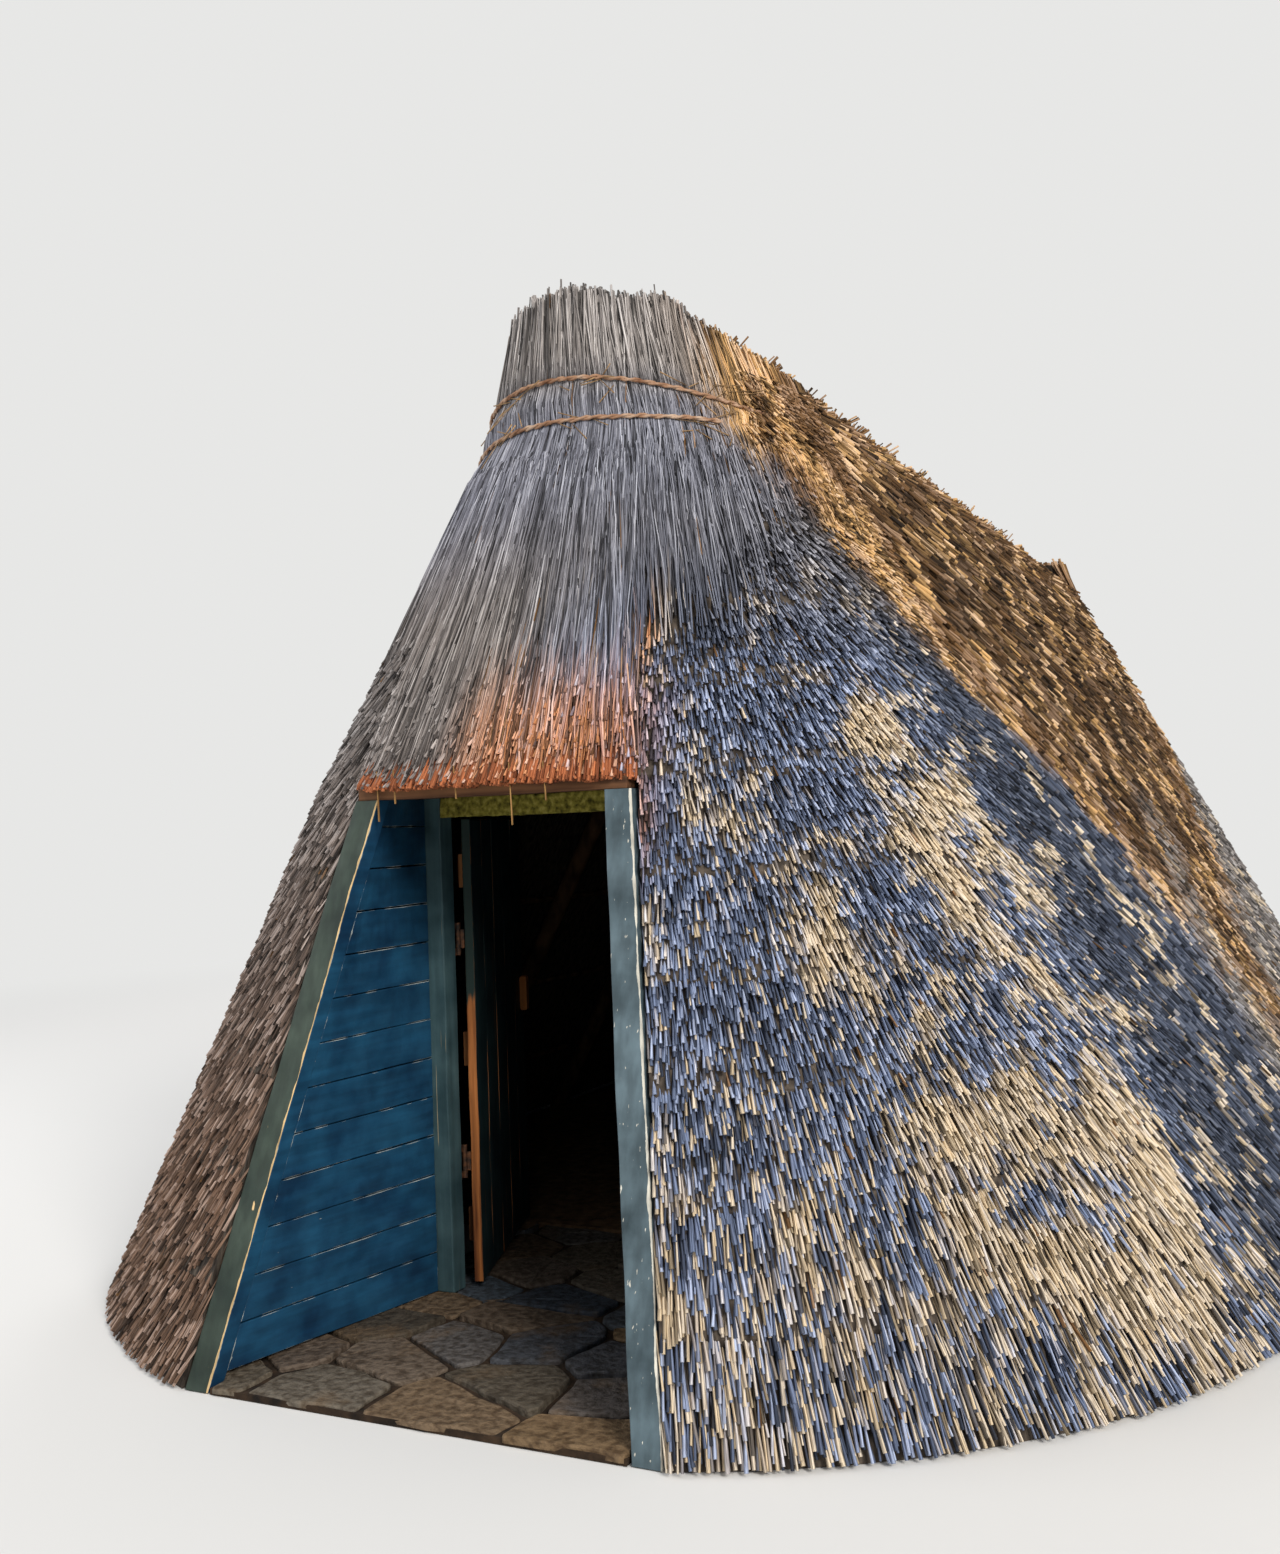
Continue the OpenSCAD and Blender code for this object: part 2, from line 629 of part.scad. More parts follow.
// Straps on the door with the middle knuckle of each hinge
module hinge_straps() {
    color(iron) swung() for (z = hinge_heights) {
        difference() {
            union() {
                translate([hinge_x, hinge_y, z]) cylinder(d = knuckle_d, h = knuckle_h, $fn = 32);
                translate([hinge_x, leaf_y + leaf_t, z])
                    cube([strap_len, plate_t, knuckle_h]);
                translate([hinge_x, leaf_y + leaf_t, z])
                    cube([plate_t, hinge_y - leaf_y - leaf_t, knuckle_h]);
            }
            translate([hinge_x, hinge_y, z - 1])
                cylinder(d = pin_d + pin_play, h = knuckle_h + 2, $fn = 32);
        }
    }
}
// Brackets on the left jamb, each pair with the pin that its knuckle turns on
module hinge_brackets() {
    eye_h = 22;
    side_gap = 1;
    back = jamb_y + jamb_t;
    wing = 0.7 * jamb_w;
    color(iron) at_door() for (z = hinge_heights) {
        translate([hinge_x, hinge_y, z - side_gap - eye_h])
            cylinder(d = pin_d, h = knuckle_h + 2 * (side_gap + eye_h), $fn = 32);
        for (eye_z = [z - side_gap - eye_h, z + knuckle_h + side_gap]) {
            translate([hinge_x, hinge_y, eye_z]) cylinder(d = knuckle_d, h = eye_h, $fn = 32);
            translate([-opening_half - wing, back, eye_z]) cube([wing, plate_t, eye_h]);
            translate([hinge_x - knuckle_d / 2, back, eye_z])
                cube([plate_t, hinge_y - back, eye_h]);
        }
    }
}
module door_handle() {
    grip_z = leaf_foot + 0.52 * leaf_h;
    edge = 0.6 * handle_w;
    color([0.72, 0.45, 0.22]) swung()
        translate([leaf_half - edge - handle_w, leaf_y - handle_t, grip_z])
            cube([handle_w, handle_t, handle_h]);
}

thatch_over_door();
thatch_front_left();
thatch_front_right();
thatch_corner_left();
thatch_corner_right();
thatch_side_left();
thatch_side_right();
thatch_rear_left();
thatch_rear_mid_left();
thatch_rear_mid_right();
thatch_rear_right();
thatch_head_front();
thatch_head_rear();
ridge_roll();
tie_bands_front();
tie_bands_rear();
ridge_pole();
rafters_left();
rafters_right();
rafters_front();
rafters_rear();
laths_left();
laths_right();
laths_front();
laths_rear();
door_post_left();
door_post_right();
cheek_boards_left();
cheek_boards_right();
jamb_left();
jamb_right();
door_head();
lintel_beam();
recess_ceiling();
stone_paving();
earth_floor();
door_boards();
door_ledges();
door_brace();
hinge_straps();
hinge_brackets();
door_handle();
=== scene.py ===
# %% [markdown]
# # A thatched hut with a board-lined entrance
# The hut is a frame of poles under thatch that comes down to the ground on all sides. The
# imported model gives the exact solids, and this lesson dresses them: thousands of stalks for
# the thatch, worn painted boards at the entrance, and flat stones on its floor. The thatch is
# the piece that takes the most care, because it covers nearly all that a visitor sees.

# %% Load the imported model
import math
import random
import bmesh
import bpy
import numpy as np
from mathutils import Matrix, Vector, noise
from mathutils.bvhtree import BVHTree


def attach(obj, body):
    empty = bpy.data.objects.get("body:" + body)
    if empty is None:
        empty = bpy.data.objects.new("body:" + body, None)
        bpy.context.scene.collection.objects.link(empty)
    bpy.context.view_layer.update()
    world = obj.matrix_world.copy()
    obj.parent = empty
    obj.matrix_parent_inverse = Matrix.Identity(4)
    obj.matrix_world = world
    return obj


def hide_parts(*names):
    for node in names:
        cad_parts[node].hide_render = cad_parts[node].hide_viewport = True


# Blender's vector noise starts from the clock, unless it is given a seed.
noise.seed_set(11)
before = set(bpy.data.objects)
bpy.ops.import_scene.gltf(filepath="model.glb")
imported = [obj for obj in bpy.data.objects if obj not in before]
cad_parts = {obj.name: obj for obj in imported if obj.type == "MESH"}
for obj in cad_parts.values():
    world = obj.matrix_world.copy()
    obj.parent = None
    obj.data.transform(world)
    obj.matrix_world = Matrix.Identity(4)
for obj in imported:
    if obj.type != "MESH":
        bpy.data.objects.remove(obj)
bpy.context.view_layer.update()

# %% [markdown]
# The camera stands at a person's height, to the right of the entrance, and looks a little to
# the left and up. The picture is taller than wide, so the sensor width is the long side's.

# %% Camera at the photograph's place
LONG_SIDE = 1554
FOCAL_PIXELS = 1500


def camera_axes(yaw, pitch, roll):
    forward = Vector((math.sin(yaw) * math.cos(pitch), math.cos(yaw) * math.cos(pitch),
                      math.sin(pitch)))
    level = Vector((math.cos(yaw), -math.sin(yaw), 0))
    upright = level.cross(forward)
    right = math.cos(roll) * level + math.sin(roll) * upright
    up = -math.sin(roll) * level + math.cos(roll) * upright
    return right, up, forward


def add_camera():
    cam = bpy.data.objects.new("camera", bpy.data.cameras.new("camera"))
    bpy.context.collection.objects.link(cam)
    cam.data.sensor_width = 36
    cam.data.lens = 36 * FOCAL_PIXELS / LONG_SIDE
    right, up, forward = camera_axes(math.radians(-26), math.radians(2), math.radians(-2))
    turn = Matrix((right, up, -forward)).transposed().to_4x4()
    cam.matrix_world = Matrix.Translation((2.29, -7.805, 1.50)) @ turn
    cam.data.clip_end = 200
    bpy.context.scene.camera = cam
    return cam


camera = add_camera()
print("lens", round(camera.data.lens, 2), "mm")

# %% [markdown]
# A pale floor and a pale world light the hut evenly, like a bright studio. One large lamp from
# the front right models the form. It stands far off, so that the floor below it isn't brighter
# than the floor at the hut. Weak lamps at the left and behind keep those sides readable. Near
# the hut the floor takes its shadow. Further off it melts into the backdrop, so that no horizon
# cuts through the picture.

# %% Floor, world and lamps
bpy.context.scene.view_settings.view_transform = "Standard"
BACKDROP = (0.80, 0.80, 0.79, 1)
FADE_FROM, FADE_TO = 6.0, 13.0


def seen_rays(nodes, links):
    """1 for what the camera sees directly, in a gloss or through glass, and 0 for light."""
    path = nodes.new("ShaderNodeLightPath")
    seen = path.outputs["Is Camera Ray"]
    for ray in ("Is Glossy Ray", "Is Transmission Ray"):
        either = nodes.new("ShaderNodeMath")
        either.operation = "MAXIMUM"
        links.new(seen, either.inputs[0])
        links.new(path.outputs[ray], either.inputs[1])
        seen = either.outputs[0]
    return seen


def add_floor(size=60.0, colour=(0.73, 0.72, 0.705, 1)):
    bm = bmesh.new()
    bmesh.ops.create_grid(bm, x_segments=1, y_segments=1, size=size / 2)
    mesh = bpy.data.meshes.new("studio_floor")
    bm.to_mesh(mesh)
    bm.free()
    floor = bpy.data.objects.new("studio_floor", mesh)
    bpy.context.collection.objects.link(floor)
    floor.location.z = -0.002
    mat = bpy.data.materials.new("studio_floor")
    mat.use_nodes = True
    nodes, links = mat.node_tree.nodes, mat.node_tree.links
    shader = nodes["Principled BSDF"]
    shader.inputs["Base Color"].default_value = colour
    shader.inputs["Roughness"].default_value = 0.9
    where, away = nodes.new("ShaderNodeTexCoord"), nodes.new("ShaderNodeVectorMath")
    away.operation = "LENGTH"
    links.new(where.outputs["Object"], away.inputs[0])
    fade = nodes.new("ShaderNodeMapRange")
    fade.interpolation_type = "SMOOTHSTEP"
    fade.inputs["From Min"].default_value = FADE_FROM
    fade.inputs["From Max"].default_value = FADE_TO
    links.new(away.outputs["Value"], fade.inputs["Value"])
    share = nodes.new("ShaderNodeMath")
    share.operation = "MULTIPLY"
    links.new(fade.outputs["Result"], share.inputs[0])
    links.new(seen_rays(nodes, links), share.inputs[1])
    backdrop, blend = nodes.new("ShaderNodeEmission"), nodes.new("ShaderNodeMixShader")
    backdrop.inputs["Color"].default_value = BACKDROP
    links.new(share.outputs[0], blend.inputs[0])
    links.new(shader.outputs[0], blend.inputs[1])
    links.new(backdrop.outputs[0], blend.inputs[2])
    links.new(blend.outputs[0], nodes["Material Output"].inputs["Surface"])
    mesh.materials.append(mat)
    return floor


def add_world(strength=0.50, colour=(0.95, 0.97, 1.0, 1)):
    world = bpy.data.worlds.new("studio")
    bpy.context.scene.world = world
    world.use_nodes = True
    nodes, links = world.node_tree.nodes, world.node_tree.links
    light = nodes["Background"]
    light.inputs["Color"].default_value = colour
    light.inputs["Strength"].default_value = strength
    backdrop, blend = nodes.new("ShaderNodeBackground"), nodes.new("ShaderNodeMixShader")
    backdrop.inputs["Color"].default_value = BACKDROP
    links.new(seen_rays(nodes, links), blend.inputs[0])
    links.new(light.outputs[0], blend.inputs[1])
    links.new(backdrop.outputs[0], blend.inputs[2])
    links.new(blend.outputs[0], nodes["World Output"].inputs["Surface"])


def add_lamp(name, place, target, size, power, colour=(1, 1, 1)):
    lamp = bpy.data.objects.new(name, bpy.data.lights.new(name, "AREA"))
    bpy.context.collection.objects.link(lamp)
    lamp.data.shape = "SQUARE"
    lamp.data.size = size
    lamp.data.energy = power
    lamp.data.color = colour
    lamp.location = place
    lamp.rotation_euler = (Vector(target) - Vector(place)).to_track_quat("-Z", "Y").to_euler()
    return lamp


add_floor()
add_world()
add_lamp("front_right_lamp", (27.6, -23.3, 22.4), (0, -1.5, 1.2), 14.4, 15600, (1.0, 0.97, 0.92))
add_lamp("left_lamp", (-9.0, -8.0, 6.0), (0, -1.5, 1.2), 6.0, 460, (0.92, 0.96, 1.0))
add_lamp("back_lamp", (-4.0, 11.0, 8.0), (0, 1.0, 1.2), 6.0, 600)

# %% [markdown]
# The stalks follow the same form as the solids: two flat long sides, and a rounded hip at each
# end whose half width and reach both shrink with height until the neck, where the straw is
# gathered into a head. The form is written once here, as functions of height, so every stalk
# can ask where the surface is. The solids have shallow courses, and the stalks lie over those
# steps, as a thatcher beats the straw into one even slope.

# %% The form of the hut, in metres
SIDE_HEIGHTS, SIDE_HALVES = (0, 2.990, 3.200), (2.060, 0.516, 0.265)
NECK_Z, HEAD_TOP, HEAD_HALF, HEAD_REACH = 2.700, 3.200, 0.440, 0.865
HIP_HEIGHTS = (0, 1.650, 2.175, NECK_Z, 2.755, HEAD_TOP)
HIP_REACHES = (2.030, 1.475, 1.195, 0.945, 0.913, HEAD_REACH)
DOOR_Y, FRONT_C, REAR_C = -4.615, -2.715, 2.585
LINTEL_TOP, POST_Z, POST_RUN = 1.650, 1.614, 0.493
DOOR_FOOT_HALF, DOOR_TOP_HALF, POST_W = 0.646, 0.381, 0.082
HEAD_SLANT, CREST_Z, COURSE_STEP = 0.150, 3.360, 0.018


def side_half(z):
    return np.interp(z, SIDE_HEIGHTS, SIDE_HALVES)


def half_at(z):
    gathered = np.interp(z, (NECK_Z, HEAD_TOP), (side_half(NECK_Z), HEAD_HALF))
    return np.where(np.asarray(z) <= NECK_Z, side_half(z), gathered)


def head_top_at(turn):
    """The cut top of a head falls towards its right side."""
    return HEAD_TOP - HEAD_SLANT * np.maximum(0, np.sin(turn)) ** 4


def reach_at(z):
    return np.interp(z, HIP_HEIGHTS, HIP_REACHES)


def hip_surface(facing):
    """Points of the front hip (facing -1) or the rear hip (facing 1): turn, height, proud."""
    centre = FRONT_C if facing < 0 else REAR_C

    def surface(turn, z, proud=0.0):
        x = (half_at(z) + proud) * np.sin(turn) * -facing
        y = centre + facing * (reach_at(z) + proud) * np.cos(turn)
        return np.stack(np.broadcast_arrays(x, y, z), axis=-1)
    return surface


def side_surface(side):
    """Points of a long side (side 1 is the right one): distance along the ridge, height."""
    def surface(y, z, proud=0.0):
        return np.stack(np.broadcast_arrays(side * (side_half(z) + proud), y, z), axis=-1)
    return surface


def post_edge(z):
    """Outer edge of a door post at a height, where the thatch begins."""
    z = np.minimum(z, LINTEL_TOP)
    return DOOR_FOOT_HALF - (DOOR_FOOT_HALF - DOOR_TOP_HALF) * z / POST_Z + POST_W + 0.004


front_hip, rear_hip = hip_surface(-1), hip_surface(1)
right_side, left_side = side_surface(1), side_surface(-1)
print("front hip at the lintel", front_hip(0.0, LINTEL_TOP).round(3))

# %% [markdown]
# A thatched face is a mass of stalks laid like scales: each one is sunk at its upper end and
# its cut lower end stands a little proud, so it throws a small shadow on the next row. A hair
# system would do this too, but plain stalks keep their shape in any program. One stalk is made
# with bmesh, a prism of three sides, and copied with numpy along the form.

# %% One stalk
def stalk_shape(joints):
    """A three-sided stalk along +Y from its cut end at 0 to its root at 1, ridge up."""
    bm = bmesh.new()
    bmesh.ops.create_cone(bm, cap_ends=True, segments=3, radius1=0.58, radius2=0.58, depth=1)
    long_edges = [e for e in bm.edges if abs(e.verts[0].co.z - e.verts[1].co.z) > 0.5]
    if joints:
        bmesh.ops.subdivide_edges(bm, edges=long_edges, cuts=joints)
    bmesh.ops.rotate(bm, verts=bm.verts, cent=(0, 0, 0),
                     matrix=Matrix.Rotation(math.pi / 2, 3, "X"))
    bmesh.ops.translate(bm, verts=bm.verts, vec=(0, 0.5, 0))
    bmesh.ops.recalc_face_normals(bm, faces=bm.faces)
    bm.verts.index_update()
    points = np.array([v.co[:] for v in bm.verts])
    faces = [[v.index for v in f.verts] for f in bm.faces]
    bm.free()
    return points, faces


STALKS = {joints: stalk_shape(joints) for joints in (0, 2, 4)}
print("faces of a stalk", {k: len(v[1]) for k, v in STALKS.items()})

# %% [markdown]
# A field is one mesh of many stalks. Each stalk has a path from its cut end to its root, a width
# and a depth, and its ridge points away from the hut. It also carries its colour, and a place of
# its own in a grain that runs along it.

# %% A field of stalks
def mesh_from_arrays(name, points, sizes, corners):
    mesh = bpy.data.meshes.new(name)
    mesh.vertices.add(len(points))
    mesh.vertices.foreach_set("co", points.astype(np.float32).ravel())
    mesh.loops.add(len(corners))
    mesh.loops.foreach_set("vertex_index", corners.astype(np.int32))
    mesh.polygons.add(len(sizes))
    starts = np.concatenate(([0], np.cumsum(sizes)[:-1]))
    mesh.polygons.foreach_set("loop_start", starts.astype(np.int32))
    mesh.update(calc_edges=True)
    return mesh


def outward_of_hut(points):
    """Roughly outward and up from the spine of the hut, for the ridge of each stalk."""
    spine = points.copy()
    spine[:, 0] = 0
    spine[:, 1] = np.clip(points[:, 1], FRONT_C, REAR_C)
    away = points - spine
    away /= np.maximum(np.linalg.norm(away, axis=1, keepdims=True), 1e-6)
    away[:, 2] += 0.5
    return away / np.linalg.norm(away, axis=1, keepdims=True)


def add_piece(name, mesh, material, slot, *replaced, body="hut"):
    """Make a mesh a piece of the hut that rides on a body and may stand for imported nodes."""
    mesh.materials.append(material)
    piece = bpy.data.objects.new(name, mesh)
    bpy.context.collection.objects.link(piece)
    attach(piece, body)
    if replaced:
        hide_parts(*replaced)
    return piece


TAPER, GRAIN_ACROSS, GRAIN_ALONG = 0.35, 430, 14


def lay_field(name, paths, widths, depths, colours, slot="thatch", fade=0.45):
    """A field of stalks: paths is (count, points, 3), from each cut end to its root.

    colours is (count, 1, 3), or has a colour for each point of the paths. The stalks get darker
    towards their roots by the share fade, painted shade where each root goes under the row above.
    """
    count, steps = paths.shape[:2]
    shape, faces = STALKS[steps - 2]
    across_shape, along_shape, up_shape = shape.T[:, None]
    along = paths[:, -1] - paths[:, 0]
    length = np.linalg.norm(along, axis=1, keepdims=True)
    along /= length
    across = np.cross(along, outward_of_hut(paths[:, 0]))
    across /= np.linalg.norm(across, axis=1, keepdims=True)
    outward = np.cross(across, along)
    step = np.rint(along_shape[0] * (steps - 1)).astype(int)
    taper = 1.0 - TAPER * along_shape
    widths, depths = widths[:, None], depths[:, None]
    points = (paths[:, step]
              + across[:, None] * (widths * across_shape * taper)[..., None]
              + outward[:, None] * (depths * up_shape * taper)[..., None])
    corners = np.concatenate([np.array(f) for f in faces])
    sizes = np.array([len(f) for f in faces])
    offsets = np.arange(count)[:, None] * len(shape)
    mesh = mesh_from_arrays(name, points.reshape(-1, 3), np.tile(sizes, count),
                            (corners[None] + offsets).ravel())
    # Painted shade: each stalk darkens towards its root by the share fade.
    shade = (colours[:, np.minimum(step, colours.shape[1] - 1)]
             * (1.0 - fade * along_shape[..., None]))
    layer = mesh.attributes.new("straw", "FLOAT_COLOR", "POINT")
    flat = np.concatenate((shade.reshape(-1, 3), np.ones((count * len(shape), 1))), axis=1)
    layer.data.foreach_set("color", flat.astype(np.float32).ravel())
    start = np.random.default_rng(count).uniform(0, 400, count)[:, None]
    grain = np.stack((start + GRAIN_ACROSS * widths * across_shape,
                      GRAIN_ALONG * length * along_shape,
                      start + GRAIN_ACROSS * depths * up_shape), axis=-1)
    layer = mesh.attributes.new("grain", "FLOAT_VECTOR", "POINT")
    layer.data.foreach_set("vector", grain.astype(np.float32).ravel())
    add_piece(name, mesh, straw, slot)
    print(name, count, "stalks", count * sum(s - 2 for s in sizes), "triangles")


# %% [markdown]
# Straw is never one colour, but it weathers in patches and not stalk by stalk. So the mean
# colour follows the place, and light and shade are painted into it too: a painted blue-grey shade
# beside the entrance with a painted tree shadow further right, brown on the left, bleached straw
# at the foot with painted sunlight there and in a few patches, and golden where newer straw comes
# down from the ridge and where painted sun lies on the long side. Each stalk is then only a little
# lighter or darker than its place, and a few odd ones differ. The colour is kept with each stalk
# as an attribute, so that it stays there in every view.

# %% Colours of straw
def linear(red, green, blue):
    """A display colour, 0 to 255, as the linear numbers that shaders use."""
    def one(value):
        value = value / 255
        return value / 12.92 if value <= 0.04045 else ((value + 0.055) / 1.055) ** 2.4
    return np.array([one(red), one(green), one(blue)])


GREY = linear(140, 134, 131)
PALE_GREY = linear(164, 156, 150)
# SHADE_BLUE_GREY is painted shade: the blue-grey that straw takes in shadow.
SHADE_BLUE_GREY = linear(130, 146, 180)
BROWN = linear(150, 116, 92)
# BLEACHED_AND_SUNLIT is pale bleached straw, and painted sunlight where the sun spots and dapple
# lay it on.
BLEACHED_AND_SUNLIT = linear(255, 230, 192)
GOLD_AND_SUNLIT = linear(136, 99, 60)
SUNLIT_GOLD_HIGHLIGHT = linear(244, 194, 128)
RUST = linear(240, 164, 110)
# SUNLIT_SPOTS are painted sunlight: soft patches of sun on the right front hip, places and sizes
# in metres.
SUNLIT_SPOTS = ((1.20, -3.45, 1.40, 0.25), (1.33, -3.50, 1.05, 0.20), (0.85, -3.95, 1.33, 0.15),
                  (1.08, -3.90, 1.02, 0.14), (1.60, -3.50, 0.55, 0.25), (1.65, -3.60, 0.30, 0.27),
                  (1.40, -3.95, 0.40, 0.24), (0.98, -3.50, 1.70, 0.15), (1.37, -3.83, 0.66, 0.17))
# The fold gives, by height, how far from the middle the long side turns towards the sun. Past it
# the straw takes painted sunlight as well as the gold of newer straw.
FOLD_HEIGHTS = (0, 0.87, 1.40, 1.70, 1.93, 2.16, 2.52, 2.86)
FOLD_PLACES = (0.20, 1.13, 1.83, 2.31, 2.81, 3.00, 3.22, 3.31)

RUST_SPOTS = ((0.21, 1.68, 0.27, 0.24, 4, 0.9, 1.5), (0.41, 2.03, 0.035, 0.09, 2, 0.5, 3),
              (0.49, 1.46, 0.035, 0.14, 2, 0.5, 3))
FRONT_Y = -3.2
print("straw colours", GREY.round(2), GOLD_AND_SUNLIT.round(2))

# %% [markdown]
# Where a colour lies is told by shares from 0 to 1: one that grows along a direction, one that is
# a soft spot on the front, and noise that breaks both up. The spots of rust and the spots of
# painted sunlight are listed above, with their places in metres and their sizes.

# %% Where each colour lies
def patches(points, scale, seed):
    """Soft noise from 0 to 1 at each point, for patches of straw that differ."""
    shift = Vector((seed * 7.3, seed * 3.1, seed * 5.7))
    values = [noise.noise(Vector(p) * scale + shift) for p in points]
    return np.clip(0.5 + 0.9 * np.array(values), 0, 1)


def mix(first, second, share):
    return first + (second - first) * np.clip(share, 0, 1)[:, None]


def share_from(value, none, full):
    """A share that goes from 0 where the value is none to 1 where it is full."""
    return np.clip((value - none) / (full - none), 0, 1)


def front_spot(points, middle_x, middle_z, wide, tall, power):
    """1 in the middle of a spot on the front hip, fading to 0 around it."""
    x, y, z = points.T
    away = ((x - middle_x) / wide) ** power + ((z - middle_z) / tall) ** power
    return np.exp(-away) * (y < FRONT_Y)


def tree_shadow_share(points):
    """Where painted shadow of a tree darkens the right side, behind the hip's first third."""
    x, y, z = points.T
    return share_from(x, 0, 0.4) * share_from(y, -0.9, -1.5667) * share_from(y, -3.40, -3.05)


def bleached_and_sunlit_share(points, fine, grain, odd):
    """How bleached the straw is, with painted sunlight: pale straw at the foot, painted sun in
    spots and a dapple, and some single pale stalks.
    """
    x, y, z = points.T
    right, tree_shadow = share_from(x, 0, 0.4), tree_shadow_share(points)
    bleach_and_sun = 0.50 * share_from(z, 0.80, 0) * share_from(x, -0.3, 0.7) * (1 - 0.6 * tree_shadow)
    for spot_x, spot_y, spot_z, size in SUNLIT_SPOTS:
        away = (x - spot_x) ** 2 + (y - spot_y) ** 2 + (z - spot_z) ** 2
        bleach_and_sun = bleach_and_sun + 1.25 * np.exp(-away / size ** 2)
    # Painted sunlight falls in dappled patches.
    sun_dapple = 1.5 * (fine - 0.5) + 1.1 * (patches(points, 12.0, 3) - 0.5) + 1.6 * grain
    bleached_and_sunlit = np.clip((np.minimum(bleach_and_sun, 1.30) - 0.38 + sun_dapple) * 1.7, 0, 1)
    bleached_and_sunlit = bleached_and_sunlit * right * share_from(z, 2.4, 1.9)
    sparse = 0.28 * right * share_from(y, -0.9, -1.5667) * share_from(z, 1.4, 0.2) * (1 - tree_shadow)
    return np.where(odd < sparse, 1.0, bleached_and_sunlit)


def weather_and_painted_shade(points, bleached_and_sunlit):
    """The colour that weather gives, grey and brown at the left, with painted shade: blue-grey at
    the right front, a tree's shadow and a darker cleft. Bleached straw and painted sunlight go on
    last.
    """
    x, y, z = points.T
    mean = np.tile(GREY, (len(points), 1))
    mean = mix(mean, BROWN, share_from(x, 0.3, -0.3667) * np.clip((2.0 - z) * 0.6, 0.1, 0.9))
    right_front = share_from(x, 0, 0.4) * share_from(y, -0.9, -1.5667)
    mean = mix(mean, SHADE_BLUE_GREY, 0.95 * right_front * share_from(z, 2.45, 1.95)
               + 0.35 * share_from(z, 2.2, 2.5333))
    # Painted shade darkens the straw in a cleft on the front hip.
    shaded_cleft = front_spot(points, 0.50, 2.18, 0.16, 0.20, 4)
    # Painted shadow of a tree darkens the right side behind the hip's first third.
    mean = mean * (1 - 0.67 * tree_shadow_share(points) - 0.40 * shaded_cleft)[:, None]
    mean = mix(mean, PALE_GREY, 0.9 * share_from(z, 2.86, 2.98) * (np.abs(y) > 2.75))
    return mix(mean, BLEACHED_AND_SUNLIT, bleached_and_sunlit)


def place_colour(points, grain, odd):
    """The mean colour of straw at each point, painted light and shade included, and how golden and
    how bleached it is there; both shares carry painted sunlight.
    """
    x, y, z = points.T
    coarse, fine = patches(points, 1.3, 1), patches(points, 4.5, 2)
    bundle = patches(points * (1, 1, 0.3), 8.0, 4)
    bleached_and_sunlit = bleached_and_sunlit_share(points, fine, grain, odd)
    mean = weather_and_painted_shade(points, bleached_and_sunlit)
    past_fold = np.interp(z, FOLD_HEIGHTS, FOLD_PLACES) - np.abs(y)
    past_fold = past_fold + 0.7 * (fine - 0.5) * share_from(z, 2.0, 1.0)
    # Past the fold the straw turns golden: newer straw, and painted sunlight on the side that
    # faces the sun.
    golden_and_sunlit = np.clip((past_fold / 0.12 + 0.5 + 2 * grain) * (0.30 + 0.9 * coarse), 0, 1)
    golden_and_sunlit = golden_and_sunlit * ((x > 0) | (np.abs(y) < 2.72))
    golden_and_sunlit = golden_and_sunlit * share_from(z - 1.2 * (coarse - 0.5) + grain, 0.50, 1.30)
    mean = mix(mean, GOLD_AND_SUNLIT, golden_and_sunlit)
    # Painted shadow: a tree's shade darkens the golden side further past the fold.
    deep = golden_and_sunlit * share_from(past_fold, 0.35, 0.85) * share_from(z, 3.1, 2.7)
    mean = mean * (1 - 0.60 * deep * (0.4 + 0.9 * fine))[:, None]
    # Painted highlight: a bright band of sun just past the fold, and lit clumps in the golden
    # straw.
    sunlit_band = np.exp(-((past_fold - 0.15) / 0.15) ** 2) * share_from(z, 0.9, 1.9)
    mean = mix(mean, SUNLIT_GOLD_HIGHLIGHT, sunlit_band * (0.3 + fine + grain) + 2.8 * golden_and_sunlit * (bundle - 0.58))
    for *spot, least, more in RUST_SPOTS:
        mean = mix(mean, RUST, (least + more * grain) * front_spot(points, *spot))
    mean = np.where((odd > 0.995)[:, None], GOLD_AND_SUNLIT, mean)
    return mean, golden_and_sunlit, bleached_and_sunlit


# %% [markdown]
# Each stalk varies around that mean. Three in ten are darker still, like the shadow between
# stalks, and the lightest lose some of their tint. Short stalks and combed ones differ: combed
# straw lies in long smooth streaks, and its colour may change along a strand.

# %% The colour of each stalk
SHORT = dict(spread=0.42, darker=1.0, streaks=1.3, streak_scale=42.0, streak_z=0.5, bundle_z=0.3)
COMBED = dict(spread=0.36, darker=1.35, streaks=0.8, streak_scale=64.0, streak_z=0.05,
              bundle_z=0.05)


